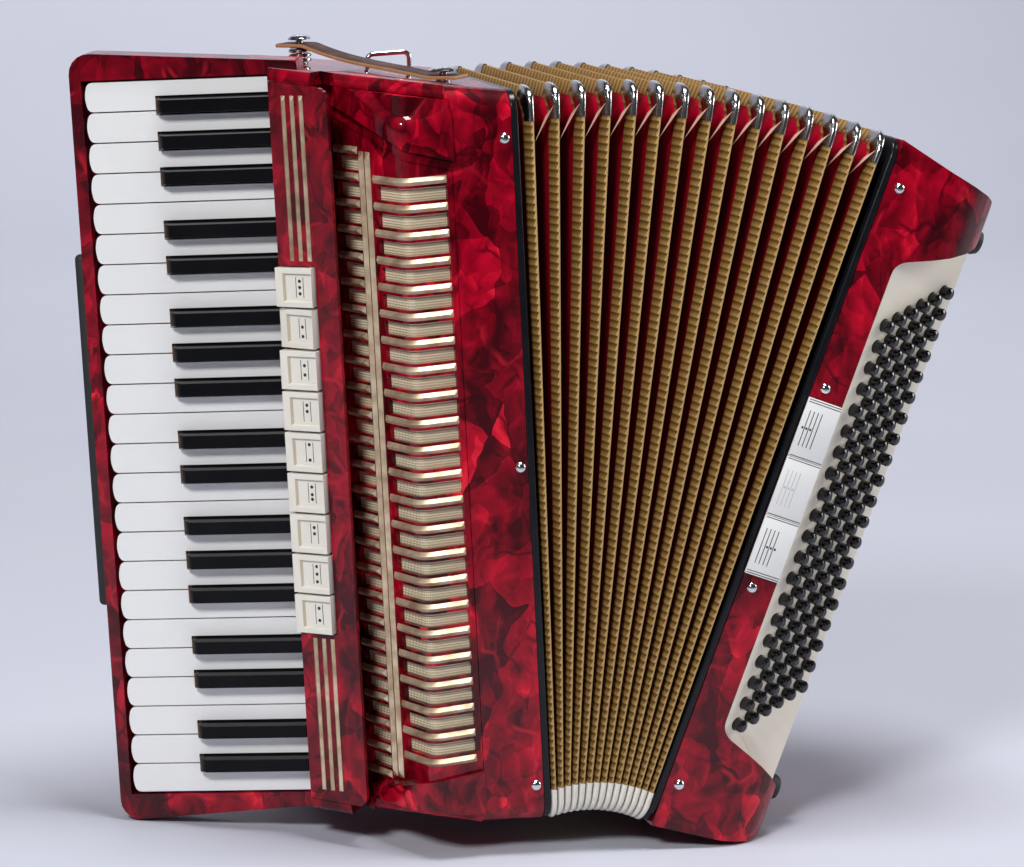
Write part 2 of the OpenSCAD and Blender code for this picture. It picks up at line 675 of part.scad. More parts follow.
// Number of point j on ring i of the outer skin, k = 0, or the inner one, k = 1
function at(k, i, j) = (k * ring_m + i) * ring_n + j % ring_n;
module bellows_folds() color("#5c0a12") on_treble() {
    n = ring_n;
    m = ring_m;
    outer = [for (r = fold_rings) each fold_ring(r, 0)];
    inner = [for (r = fold_rings) each fold_ring(r, fold_wall)];
    walls = [for (i = [0:m - 2], j = [0:n - 1]) each [
        [at(0, i, j), at(0, i, j + 1), at(0, i + 1, j + 1)],
        [at(0, i, j), at(0, i + 1, j + 1), at(0, i + 1, j)],
        [at(1, i, j), at(1, i + 1, j + 1), at(1, i, j + 1)],
        [at(1, i, j), at(1, i + 1, j), at(1, i + 1, j + 1)]]];
    ends = [for (j = [0:n - 1]) each [
        [at(0, 0, j), at(1, 0, j), at(1, 0, j + 1)],
        [at(0, 0, j), at(1, 0, j + 1), at(0, 0, j + 1)],
        [at(0, m - 1, j), at(1, m - 1, j + 1), at(1, m - 1, j)],
        [at(0, m - 1, j), at(0, m - 1, j + 1), at(1, m - 1, j + 1)]]];
    polyhedron(concat(outer, inner), concat(walls, ends));
}
module corner_cap() {
    r = corner_r + slip / 2;
    rotate([90, 0, 90]) rotate_extrude(angle = 90) translate([r, -cap_w / 2]) square([cap_t, cap_w]);
    translate([-cap_w / 2, r, -cap_leg]) cube([cap_w, cap_t, cap_leg]);
    translate([-cap_w / 2, -cap_leg, r]) cube([cap_w, cap_leg, cap_t]);
}
module bellows_corners() color(chrome) for (i = [0:fold_count - 1]) {
    share = (i + 0.5) / fold_count;
    on_hinge(fan * share) translate([frame_t + share * stack_w, case_d / 2, case_h / 2])
        for (sy = [0, 1], sz = [0, 1]) mirror([0, sy, 0]) mirror([0, 0, sz])
            translate([0, case_d / 2 - fold_in - corner_r, case_h / 2 - fold_in - corner_r]) corner_cap();
}

// Bass side, in its own frame: u away from the bellows, v up along the bellows frame
bass_front_pts = [
    [0, 0, 0], [bass_drop[0], bass_drop[1], 60], [bass_w, 10, 20],
    [bass_w, case_h - 17, 16], [40, case_h - 8.5, 80], [0, case_h, 0]
];
function bd(x, y) = [bass_front_w + x * cos(board_tilt) - y * sin(board_tilt),
                     x * sin(board_tilt) + y * cos(board_tilt)];
function board_pts(gap, w) = [
    [gap, board_low + gap, 12], [w, board_low + (board_low_out - board_low) * w / board_w + gap, 0],
    [w, board_high + (board_high_out - board_high) * w / board_w - gap, 0], [gap, board_high - gap, 12]
];
// Outline of the bass case seen from above
bass_plan = [[0, 0, 0], [bass_w, 0, bass_front_r], [bass_w, case_d, edge_r / 2], [0, case_d, 0]];
bass_hollow = [
    [-1, wall], [bass_front_w - wall, wall], bd(ledge, board_t - 0.5), bd(board_w - ledge, board_t - 0.5),
    [bass_w - wall, board_y + wall], [bass_w - wall, case_d - wall], [-1, case_d - wall]
];
module bass_case() color(red) difference() {
    on_bass() intersection() {
        up(-1, case_h + 1) polygon(rounded(bass_plan));
        front_slab(rounded(bass_front_pts), -1, case_d + 1);
    }
    on_bass() up(4 * wall, case_h - 5 * wall) polygon(bass_hollow);
    on_board() front_slab(rounded(board_pts(0, board_w + 20)), -80, board_t);
    on_bass() {
        for (z = bass_stud_zs, y = [0, case_d]) shank_hole(bass_stud_u, y, z);
        for (i = [0:plate_count - 1])
            translate([stem_u - slip, -1, plate_z(i) + plate_pitch / 2 - stem_h / 2 - slip])
                cube([stem_w + 2 * slip, wall + 2, stem_h + 2 * slip]);
    }
}
function plate_z(i) = plate_mid + (i - plate_count / 2) * plate_pitch;

module each_button() for (r = [0:row_count - 1], c = [0:column_count - 1])
    translate([button_x0 + r * row_pitch, 0, button_top + r * row_shift - c * column_pitch])
        rotate([90, 0, 0]) children();
module bass_button_board() color(ivory) on_board() difference() {
    front_slab(rounded(board_pts(slip, board_w - 1)), 0, board_t);
    each_button() cylinder(h = 4 * board_t, r = button_r + slip, center = true);
}
module bass_buttons() color(black) on_board() each_button() rotate_extrude() polygon([
    [0, -board_t - stem_l], [button_r / 2, -board_t - stem_l], [button_r / 2, -board_t - collar_t - slip],
    [collar_r, -board_t - collar_t - slip], [collar_r, -board_t - slip], [button_r, -board_t - slip],
    [button_r, button_h - 2], [button_r * 0.85, button_h - 0.8], [button_r * 0.45, button_h], [0, button_h]]);
module bass_switches() color(ivory) on_bass() for (i = [0:plate_count - 1]) {
    translate([plate_u0, -plate_lift - plate_t, plate_z(i) + plate_gap / 2])
        cube([plate_u1 - plate_u0, plate_t, plate_pitch - plate_gap]);
    translate([stem_u, -plate_lift, plate_z(i) + plate_pitch / 2 - stem_h / 2])
        cube([stem_w, plate_lift + wall, stem_h]);
}
module bass_fittings() on_bass() {
    color(chrome) for (z = bass_stud_zs) {
        stud_at(bass_stud_u, 0, z, 1);
        stud_at(bass_stud_u, case_d, z, -1);
    }
    color(black) for (y = [foot_inset, foot_back], z = [foot_low, foot_high])
        translate([bass_w, y, z]) rotate([0, 90, 0]) rotate_extrude() polygon([[0, 0], [foot_r, 0],
            [foot_r, foot_h * 0.6], [foot_r * 0.85, foot_h * 0.9], [foot_r * 0.6, foot_h], [0, foot_h]]);
}

// The levers draw together towards the pallets, so that the row of pallets fits the sound board
pallet_low = slot_z(key_count - 1);
function pallet_z(k) = pallet_low + (slot_z(k) - pallet_low) * pallet_draw;
// One white or black key with its lever and pallet
module key_lever(k) {
    z0 = slot_z(k) - lever_w / 2;
    z1 = pallet_z(k) - lever_w / 2;
    end = pallet_a + pallet_l - 4;
    translate([tail_a - 4, lever_b, z0]) cube([crank_a + crank_t - tail_a + 4, lever_t, lever_w]);
    translate([crank_a, lever_b, z0]) cube([crank_t, low_lever_b + lever_t - lever_b, lever_w]);
    front_slab([[crank_a, z0], [crank_a + crank_t, z0], [pallet_a, z1], [end, z1], [end, z1 + lever_w],
        [pallet_a, z1 + lever_w], [crank_a + crank_t, z0 + lever_w], [crank_a, z0 + lever_w]],
        low_lever_b, low_lever_b + lever_t);
    translate([pallet_a + pallet_l / 2 - 5, low_lever_b, z1])
        cube([10, pallet_b - low_lever_b + 1, lever_w]);
    translate([pallet_a, pallet_b, pallet_z(k) - pallet_w / 2])
        cube([pallet_l, board_b - slip - pallet_b, pallet_w]);
}
module white_key(k) {
    hi = key_top - whites_before(k) * key_pitch - key_gap / 2;
    lo = hi - key_pitch + key_gap;
    above = k > 0 && is_black(k - 1);
    below = k < key_count - 1 && is_black(k + 1);
    tail_hi = slot_z(k - 1) - black_w / 2 - key_gap;
    tail_lo = slot_z(k + 1) + black_w / 2 + key_gap;
    neck = -black_len - 1;
    low_side = below ? [[neck, lo, 0], [neck, tail_lo, 0], [tail_a, tail_lo, 0]] : [[tail_a, lo, 0]];
    high_side = above ? [[tail_a, tail_hi, 0], [neck, tail_hi, 0], [neck, hi, 0]] : [[tail_a, hi, 0]];
    front_slab(rounded(concat([[key_front + key_bow, lo, key_r]], low_side, high_side,
        [[key_front + key_bow, hi, key_r], [key_front, (lo + hi) / 2, 20]])), 0, key_t);
}
module black_key(k) {
    z = slot_z(k);
    h = black_w / 2;
    intersection() {
        up(z - h, z + h) polygon([[-black_len, key_t], [-black_len, 4 - black_rise],
            [4 - black_len, -black_rise], [black_end, -black_rise], [black_end, 0], [tail_a, 0],
            [tail_a, key_t]]);
        side_slab([[key_t + 1, z - h], [0, z - h], [-black_rise - 0.1, z - h + 1.2],
            [-black_rise - 0.1, z + h - 1.2], [0, z + h], [key_t + 1, z + h]], -black_len - 1, tail_a + 1);
    }
}
module key(k) color(is_black(k) ? black : ivory) on_keys() difference() {
    union() {
        if (is_black(k)) black_key(k);
        else white_key(k);
        key_lever(k);
    }
    translate([axle_a, axle_b, slot_z(k) - key_pitch])
        cylinder(h = 2 * key_pitch, r = axle_r + axle_clear);
}
note_names = ["f", "fs", "g", "gs", "a", "as", "b", "c", "cs", "d", "ds", "e"];
function key_node(k) = str("key_", k < 9 ? "0" : "", k + 1, "_", note_names[k % octave]);

treble_case();
keyboard_frame();
grille_cover();
grille_bars();
grille_mesh();
treble_switches();
treble_hardware();
leg_rest_pad();
bellows_strap();
treble_reed_blocks();
treble_bellows_frame();
bellows_folds();
bellows_corners();
bass_bellows_frame();
bass_case();
bass_button_board();
bass_buttons();
bass_switches();
bass_fittings();
for (k = [0:key_count - 1]) key(k);
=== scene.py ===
import bpy
import math
import numpy as np
from mathutils import Euler, Matrix, Vector


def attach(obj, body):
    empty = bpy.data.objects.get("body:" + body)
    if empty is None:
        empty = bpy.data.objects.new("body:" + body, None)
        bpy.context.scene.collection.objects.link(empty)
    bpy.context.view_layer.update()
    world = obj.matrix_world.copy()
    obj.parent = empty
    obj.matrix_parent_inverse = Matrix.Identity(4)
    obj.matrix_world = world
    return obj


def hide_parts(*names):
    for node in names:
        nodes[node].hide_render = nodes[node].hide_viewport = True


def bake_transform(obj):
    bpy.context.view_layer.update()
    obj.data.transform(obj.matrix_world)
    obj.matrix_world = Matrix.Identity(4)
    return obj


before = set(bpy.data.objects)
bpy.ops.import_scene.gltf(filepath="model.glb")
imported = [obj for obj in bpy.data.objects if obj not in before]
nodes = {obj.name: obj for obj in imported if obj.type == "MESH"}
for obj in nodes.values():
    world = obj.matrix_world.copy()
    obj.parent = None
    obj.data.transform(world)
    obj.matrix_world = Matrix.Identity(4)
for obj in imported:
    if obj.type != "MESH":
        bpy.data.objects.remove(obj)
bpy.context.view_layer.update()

# Sizes of the instrument in millimetres, as in the CAD source
MM = Matrix.Scale(0.001, 4)
CASE_H = 474
CASE_D = 190
TOP_FALL = 18 / 126
LEAN = math.radians(5.2093)
ORIGIN = Vector((-2.13827, -CASE_D / 2, 22.0949))
KEY_ROOT = Vector((-138.5, 72.3, 0))
KEY_ANGLE = math.radians(22.5)
BLACK_KEY_LENGTH = 71
STRIP_AT = Vector((3.8, -17.4, 0))
STRIP_TILT = math.radians(-21)
FRAME_T = 5
STACK_W = 56
FOLDS = 15
FOLD_DEPTH = 24
PITCH = STACK_W / FOLDS
HINGE = Vector((41, 0, -19.5))
FAN = math.radians(23.6)


def turn(angle, axis):
    return Matrix.Rotation(angle, 4, axis)


def move(x, y, z):
    return Matrix.Translation((x, y, z))


# Where the groups of pieces stand: the treble case, its keys, the switch strip and the bass case
ON_TREBLE = MM @ move(*ORIGIN) @ turn(-LEAN, "Y")
ON_KEYS = ON_TREBLE @ move(*KEY_ROOT) @ turn(-KEY_ANGLE, "Z")
ON_STRIP = ON_KEYS @ move(*STRIP_AT) @ turn(STRIP_TILT, "Z")
ON_BASS = ON_TREBLE @ move(*HINGE) @ turn(FAN, "Y") @ move(*-HINGE) @ move(STACK_W + 2 * FRAME_T, 0, 0)


def top_z(x):
    """Height of the treble case's sloping top."""
    return CASE_H - x * TOP_FALL


def unit(value):
    """The value held between 0 and 1."""
    return min(max(value, 0), 1)


# Modelling helpers
def edit_mode():
    bpy.ops.object.mode_set(mode="EDIT")


def object_mode():
    bpy.ops.object.mode_set(mode="OBJECT")


def fresh(name, kind, **options):
    """Adds a primitive and leaves it in edit mode, selected all over."""
    bpy.ops.object.select_all(action="DESELECT")
    getattr(bpy.ops.mesh, "primitive_" + kind + "_add")(**options)
    made = bpy.context.object
    made.name = made.data.name = name
    edit_mode()
    bpy.ops.mesh.select_all(action="SELECT")
    return made


def pick(test, obj):
    """Selects the points of obj that pass test, in edit mode."""
    bpy.ops.mesh.select_all(action="DESELECT")
    object_mode()
    for v in obj.data.vertices:
        v.select = bool(test(v.co))
    edit_mode()


def pick_faces(test, obj):
    """Selects the faces of obj that pass test, in edit mode."""
    bpy.ops.mesh.select_mode(type="FACE")
    bpy.ops.mesh.select_all(action="DESELECT")
    object_mode()
    for f in obj.data.polygons:
        f.select = bool(test(f))
    edit_mode()


def slide(x, y, z):
    bpy.ops.transform.translate(value=(x, y, z))


def grow(x, y, z, centre=(0, 0, 0)):
    bpy.ops.transform.resize(value=(x, y, z), center_override=centre)


def draw_out(x, y, z):
    bpy.ops.mesh.extrude_region_move(TRANSFORM_OT_translate={"value": (x, y, z)})


def apply_all(obj):
    bpy.context.view_layer.objects.active = obj
    for m in list(obj.modifiers):
        bpy.ops.object.modifier_apply(modifier=m.name)


def smooth(obj, angle):
    bpy.ops.object.select_all(action="DESELECT")
    obj.select_set(True)
    bpy.context.view_layer.objects.active = obj
    bpy.ops.object.shade_smooth_by_angle(angle=math.radians(angle))


def face_out(obj):
    bpy.context.view_layer.objects.active = obj
    edit_mode()
    bpy.ops.mesh.select_all(action="SELECT")
    bpy.ops.mesh.normals_make_consistent(inside=False)
    object_mode()


def row(obj, count, step):
    """The piece and copies of it, each a step further on."""
    parts = [obj]
    for i in range(1, count):
        made = obj.copy()
        made.data = obj.data.copy()
        made.data.transform(move(*(i * s for s in step)))
        bpy.context.scene.collection.objects.link(made)
        parts.append(made)
    return parts


def join(name, parts):
    bpy.ops.object.select_all(action="DESELECT")
    for p in parts:
        p.select_set(True)
    bpy.context.view_layer.objects.active = parts[0]
    if len(parts) > 1:
        bpy.ops.object.join()
    parts[0].name = parts[0].data.name = name
    return parts[0]


def dress(obj, material, angle):
    """Turns a finished piece's faces outwards and gives it its finish."""
    obj.data.update()
    face_out(obj)
    smooth(obj, angle)
    obj.data.materials.clear()
    obj.data.materials.append(material)


def enter(replaces):
    """Hides the CAD nodes, given by name, that a piece stands for."""
    if replaces:
        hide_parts(*replaces)


def settle(obj, matrix, body, material, replaces=(), angle=35):
    """Puts a finished piece in the shared frame and lets it ride on its body."""
    obj.data.transform(matrix)
    dress(obj, material, angle)
    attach(obj, body)
    enter(replaces)
    return obj


def block(name, size, at, bevel=0.0, segments=2):
    """A box of that size in millimetres about a centre, with rounded edges."""
    made = fresh(name, "cube", size=1)
    grow(*size)
    slide(*at)
    if bevel:
        bpy.ops.mesh.bevel(offset=bevel, segments=segments, affect="EDGES")
    object_mode()
    return made


# Shader helpers
def feed(tree, socket, value):
    """Links a socket to another node's output, or sets its value."""
    if isinstance(value, bpy.types.NodeSocket):
        tree.links.new(value, socket)
    else:
        socket.default_value = value


def put(tree, kind, props=None, **sockets):
    """Adds a node. Inputs go by name, with _ for a space, or by number as i0, i1 and so on."""
    made = tree.nodes.new("ShaderNode" + kind)
    for key, value in (props or {}).items():
        setattr(made, key, value)
    for key, value in sockets.items():
        counted = key[0] == "i" and key[1:].isdigit()
        feed(tree, made.inputs[int(key[1:]) if counted else key.replace("_", " ")], value)
    return made


def calc(tree, operation, a, b=0.0, c=0.0, clamp=False):
    return put(tree, "Math", {"operation": operation, "use_clamp": clamp}, i0=a, i1=b, i2=c).outputs[0]


def times(tree, a, b):
    return calc(tree, "MULTIPLY", a, b)


def vary(tree, value, gain, base, clamp=False):
    """value * gain + base"""
    return calc(tree, "MULTIPLY_ADD", value, gain, base, clamp)


def vector(tree, operation, a, b, c=(0.0, 0.0, 0.0)):
    made = put(tree, "VectorMath", {"operation": operation}, i0=a, i1=b, i2=c)
    return made.outputs["Value" if operation == "DOT_PRODUCT" else "Vector"]


def span(tree, value, low, high, start=0.0, end=1.0):
    """Goes from start to end while value goes from low to high."""
    made = put(tree, "MapRange", Value=value, From_Min=low, From_Max=high, To_Min=start, To_Max=end)
    return made.outputs[0]


def blend(tree, share, a, b):
    """Colour a, going over to colour b by that share."""
    made = put(tree, "Mix", {"data_type": "RGBA"})
    feed(tree, made.inputs[0], share)
    for index, colour in ((6, a), (7, b)):
        feed(tree, made.inputs[index], (*colour, 1) if isinstance(colour, tuple) else colour)
    return made.outputs[2]


def tint(tree, colour, mask, amount, shade):
    """Lays a shade over a colour where the mask is, by that amount."""
    return blend(tree, times(tree, mask, amount), colour, shade)


def ramp(tree, factor, stops):
    made = put(tree, "ValToRGB", Fac=factor)
    while len(made.color_ramp.elements) < len(stops):
        made.color_ramp.elements.new(0.5)
    for element, (place, colour) in zip(made.color_ramp.elements, stops):
        element.position = place
        element.color = (*colour, 1)
    return made.outputs[0]


def stripes(tree, value, pitch, low, high):
    """1 on lines that repeat every pitch, 0 between them."""
    return span(tree, calc(tree, "PINGPONG", value, pitch / 2), low, high, 1.0, 0.0)


def cells(tree, feature, where, scale):
    return put(tree, "TexVoronoi", {"feature": feature}, Vector=where, Scale=scale, Randomness=1.0).outputs


def group(name, inputs, outputs):
    """A node group with those sockets, and its input and output nodes."""
    tree = bpy.data.node_groups.new(name, "ShaderNodeTree")
    for label, kind, value in inputs:
        socket = tree.interface.new_socket(label, in_out="INPUT", socket_type="NodeSocket" + kind)
        if value is not None:
            socket.default_value = value
    for label, kind in outputs:
        tree.interface.new_socket(label, in_out="OUTPUT", socket_type="NodeSocket" + kind)
    return tree, tree.nodes.new("NodeGroupInput").outputs, tree.nodes.new("NodeGroupOutput").inputs


def pearl_flakes():
    """Overlapping cells, each shaded across in its own direction, with bright folds and thin dark cracks."""
    tree, given, result = group("pearl_flakes", [("Vector", "Vector", None), ("Scale", "Float", 40.0)],
                                [("Shine", "Float"), ("Crack", "Float"), ("Fold", "Float")])
    where, scale = given["Vector"], given["Scale"]
    warp = put(tree, "TexNoise", Vector=where, Scale=26.0, Detail=2.0).outputs["Color"]
    warped = vector(tree, "MULTIPLY_ADD", warp, (0.024, 0.024, 0.024), where)
    warped = vector(tree, "MULTIPLY", warped, (1.0, 1.0, 0.72))

    def flakes(factor, amount):
        """Shade across each cell, added to the cell's own random value."""
        size = times(tree, scale, factor)
        cell = cells(tree, "F1", warped, size)
        away = vector(tree, "SUBTRACT", warped, cell["Position"])
        aim = vector(tree, "SUBTRACT", cell["Color"], (0.5, 0.5, 0.5))
        across = times(tree, times(tree, vector(tree, "DOT_PRODUCT", away, aim), size), 2.2)
        own = put(tree, "SeparateColor", Color=cell["Color"]).outputs[0]
        return vary(tree, across, amount, times(tree, own, amount))

    def lines(factor, width):
        """1 on the borders of cells, falling to 0 at that distance from them."""
        edge = cells(tree, "DISTANCE_TO_EDGE", warped, times(tree, scale, factor))["Distance"]
        return span(tree, edge, 0.0, width, 1.0, 0.0)

    soft = put(tree, "TexNoise", Vector=warped, Scale=42.0, Detail=4.0, Distortion=1.4).outputs["Fac"]
    shine = calc(tree, "ADD", flakes(1.0, 0.2), flakes(2.6, 0.1))
    shine = calc(tree, "ADD", shine, times(tree, soft, 0.7))
    some = put(tree, "TexNoise", Vector=where, Scale=31.0, Detail=1.0).outputs["Fac"]
    tree.links.new(shine, result["Shine"])
    tree.links.new(times(tree, lines(0.8, 0.03), span(tree, some, 0.48, 0.58)), result["Crack"])
    tree.links.new(times(tree, lines(1.25, 0.07), span(tree, some, 0.45, 0.36)), result["Fold"])
    return tree


def fine_wear():
    """Slow and fine unevenness for colour and roughness, and a normal with a light orange peel."""
    tree, given, result = group(
        "fine_wear", [("Vector", "Vector", None), ("Scale", "Float", 60.0), ("Depth", "Float", 0.05)],
        [("Slow", "Float"), ("Fine", "Float"), ("Normal", "Vector")])
    where, scale = given["Vector"], given["Scale"]
    slow = put(tree, "TexNoise", Vector=where, Scale=scale, Detail=2.0).outputs["Fac"]
    fine = put(tree, "TexNoise", Vector=where, Scale=times(tree, scale, 14.0), Detail=5.0).outputs["Fac"]
    peel = put(tree, "Bump", Strength=given["Depth"], Distance=0.0005, Height=fine).outputs[0]
    for made, label in ((slow, "Slow"), (fine, "Fine"), (peel, "Normal")):
        tree.links.new(made, result[label])
    return tree


PEARL = pearl_flakes()
WEAR = fine_wear()


def use(tree, which, **sockets):
    """Places a node group with its own values and returns its outputs."""
    made = tree.nodes.new("ShaderNodeGroup")
    made.node_tree = which
    for key, value in sockets.items():
        feed(tree, made.inputs[key], value)
    return made.outputs


def start_material(name):
    made = bpy.data.materials.new(name)
    made.use_nodes = True
    return made, made.node_tree, put(made.node_tree, "TexCoord").outputs["Object"]


def finish(made, **sockets):
    """Feeds the material's surface shader and returns the material."""
    shader = made.node_tree.nodes["Principled BSDF"]
    for key, value in sockets.items():
        feed(made.node_tree, shader.inputs[key.replace("_", " ")], value)
    return made


def plain(name, dark, light, rough, spread=0.1, scale=60.0, depth=0.04, **extra):
    """A material whose colour and roughness wander a little between two values."""
    made, tree, where = start_material(name)
    worn = use(tree, WEAR, Vector=where, Scale=scale, Depth=depth)
    uneven = vary(tree, worn["Fine"], spread, rough - spread / 2, clamp=True)
    colour = blend(tree, worn["Slow"], dark, light)
    return finish(made, Base_Color=colour, Roughness=uneven, Normal=worn["Normal"], **extra)


def red_celluloid():
    made, tree, where = start_material("red_celluloid")
    pearl = use(tree, PEARL, Vector=where, Scale=34.0)
    worn = use(tree, WEAR, Vector=where, Scale=30.0, Depth=0.015)
    colour = ramp(tree, pearl["Shine"], [
        (0.32, (0.05, 0.0002, 0.003)), (0.46, (0.16, 0.0004, 0.007)), (0.6, (0.3, 0.0008, 0.013)),
        (0.72, (0.5, 0.002, 0.02)), (0.86, (0.85, 0.016, 0.042))])
    colour = tint(tree, colour, pearl["Fold"], 0.4, (0.8, 0.015, 0.04))
    colour = tint(tree, colour, pearl["Crack"], 0.8, (0.025, 0.0, 0.003))
    return finish(made, Base_Color=colour, Normal=worn["Normal"], Specular_IOR_Level=0.04, Coat_Weight=0.65,
                  Coat_Roughness=0.03, Roughness=vary(tree, pearl["Shine"], -0.25, 0.55))


def black_key():
    """Glossy black, brown on the bevel at the player's end."""
    made, tree, where = start_material("black_key")
    worn = use(tree, WEAR, Vector=where, Scale=40.0, Depth=0.04)
    to_length = ON_KEYS.inverted()[0]
    along = calc(tree, "ADD", vector(tree, "DOT_PRODUCT", where, tuple(to_length[:3])), to_length[3])
    tip = span(tree, along, 1.4 - BLACK_KEY_LENGTH, 2.6 - BLACK_KEY_LENGTH, 1.0, 0.0)
    colour = blend(tree, worn["Slow"], (0.003, 0.003, 0.004), (0.008, 0.008, 0.01))
    colour = tint(tree, colour, tip, vary(tree, worn["Fine"], 0.8, 0.35, clamp=True), (0.1, 0.05, 0.025))
    return finish(made, Base_Color=colour, Normal=worn["Normal"], Specular_IOR_Level=0.1,
                  Roughness=vary(tree, worn["Fine"], 0.12, 0.08))


def grille_cloth():
    """Fine cream lines along the windows, with dark holes between them on the right-hand windows."""
    made, tree, where = start_material("grille_cloth")
    worn = use(tree, WEAR, Vector=where, Scale=40.0, Depth=0.05)
    line_pitch, hole_pitch = 1.7, 1.2
    upward = ON_TREBLE.inverted()[2]
    height = calc(tree, "ADD", vector(tree, "DOT_PRODUCT", where, tuple(upward[:3])), upward[3])
    across = put(tree, "SeparateXYZ", Vector=where).outputs[0]
    lines = stripes(tree, calc(tree, "SUBTRACT", height, 0.55), line_pitch, 0.1, 0.5)
    holes = times(tree, stripes(tree, times(tree, across, 1000.0), hole_pitch, 0.1, 0.4),
                  stripes(tree, height, line_pitch, 0.1, 0.4))
    holes = times(tree, holes, span(tree, across, -0.115, -0.1))
    colour = blend(tree, worn["Slow"], (0.82, 0.68, 0.44), (0.95, 0.86, 0.64))
    colour = tint(tree, colour, lines, 0.7, (0.3, 0.2, 0.1))
    colour = tint(tree, colour, holes, 0.8, (0.16, 0.1, 0.05))
    relief = put(tree, "Bump", Strength=0.5, Distance=0.0004, Height=calc(tree, "SUBTRACT", 1.0, lines))
    return finish(made, Base_Color=colour, Roughness=0.45, Specular_IOR_Level=0.2, Normal=relief.outputs[0])


def gilt():
    made, tree, where = start_material("gilt")
    worn = use(tree, WEAR, Vector=where, Scale=90.0, Depth=0.06)
    colour = ramp(tree, worn["Slow"], [
        (0.3, (0.46, 0.32, 0.2)), (0.5, (0.66, 0.51, 0.34)), (0.7, (0.84, 0.7, 0.5))])
    return finish(made, Base_Color=colour, Metallic=0.55, Normal=worn["Normal"],
                  Roughness=vary(tree, worn["Fine"], 0.25, 0.3))


def flat_parts(tree):
    """A bellows point's place in the closed stack in millimetres, and how far in from the outline it lies.

    The last two are the distances from the top or bottom and from the front or back."""
    flat = put(tree, "Attribute", {"attribute_name": "flat"}).outputs["Vector"]
    x, y, z = put(tree, "SeparateXYZ", Vector=flat).outputs
    ends = calc(tree, "MINIMUM", z, calc(tree, "SUBTRACT", float(CASE_H), z))
    sides = calc(tree, "MINIMUM", y, calc(tree, "SUBTRACT", float(CASE_D), y))
    return x, y, z, ends, sides


def bellows_cloth():
    """Dark red in the valleys and brighter by the ridges, from painted shade, and brightest in the corners.
    """
    made, tree, where = start_material("bellows_cloth")
    ends, sides = flat_parts(tree)[3:]
    worn = use(tree, WEAR, Vector=where, Scale=50.0, Depth=0.25)
    corner = span(tree, calc(tree, "MAXIMUM", ends, sides), 17.0, 27.0, 1.0, 0.0)
    # Painted shade: the cloth darkens the deeper a point lies in a valley
    deep = span(tree, calc(tree, "MINIMUM", ends, sides), 4.0, 22.0)
    colour = blend(tree, deep, (0.3, 0.001, 0.01), (0.075, 0.0005, 0.004))
    colour = tint(tree, colour, worn["Slow"], 0.35, (0.13, 0.001, 0.006))
    colour = blend(tree, corner, colour, (0.55, 0.002, 0.03))
    return finish(made, Base_Color=colour, Normal=worn["Normal"], Specular_IOR_Level=0.12,
                  Roughness=vary(tree, worn["Fine"], 0.2, 0.5))


def bellows_tape():
    """Woven gold tape: ribbed over the top, scalloped with a beaded zigzag edge down the front and back, with
    painted shadow under the scallops on the flanks and a painted highlight on the beaded edge.
    """
    made, tree, where = start_material("bellows_tape")
    x, y, z, ends, sides = flat_parts(tree)
    worn = use(tree, WEAR, Vector=where, Scale=80.0, Depth=0.1)
    rib_pitch, weave_pitch, scallop_pitch = 7.0, 0.8, 4.9
    upright = calc(tree, "LESS_THAN", sides, ends)
    run = blend(tree, upright, y, z)
    ribs = times(tree, stripes(tree, run, rib_pitch, 1.0, 2.4), calc(tree, "SUBTRACT", 1.0, upright))
    weave = stripes(tree, run, weave_pitch, 0.05, 0.3)
    scallop = span(tree, calc(tree, "FRACT", calc(tree, "DIVIDE", z, scallop_pitch)), 0.2, 0.75)
    across = calc(tree, "FRACT", calc(tree, "DIVIDE", calc(tree, "SUBTRACT", x, float(FRAME_T)), PITCH))
    zigzag = calc(tree, "SUBTRACT", vary(tree, scallop, 0.3, 0.28), across)
    flank = calc(tree, "MAXIMUM", span(tree, calc(tree, "MINIMUM", sides, ends), 0.2, 0.8),
                 span(tree, zigzag, 0.0, 0.08))
    # Painted shadow on the flanks, deepest under each scallop
    shade = times(tree, vary(tree, scallop, 0.8, 0.2), times(tree, flank, upright))
    # Painted highlight on the raised beaded edge
    bead_highlight = times(tree, upright, calc(tree, "SUBTRACT", 1.0, flank))
    colour = blend(tree, worn["Slow"], (0.34, 0.18, 0.045), (0.46, 0.275, 0.08))
    colour = tint(tree, colour, weave, 0.25, (0.17, 0.09, 0.025))
    colour = tint(tree, colour, ribs, 0.75, (0.12, 0.06, 0.015))
    colour = tint(tree, colour, shade, 0.85, (0.07, 0.03, 0.007))
    colour = tint(tree, colour, bead_highlight, 0.5, (0.72, 0.5, 0.22))
    height = calc(tree, "ADD", times(tree, shade, -1.0), times(tree, ribs, -0.6))
    height = calc(tree, "ADD", height, vary(tree, bead_highlight, 0.6, times(tree, weave, -0.12)))
    relief = put(tree, "Bump", Strength=0.9, Distance=0.0012, Height=height, Normal=worn["Normal"])
    return finish(made, Base_Color=colour, Roughness=0.5, Specular_IOR_Level=0.15, Normal=relief.outputs[0])


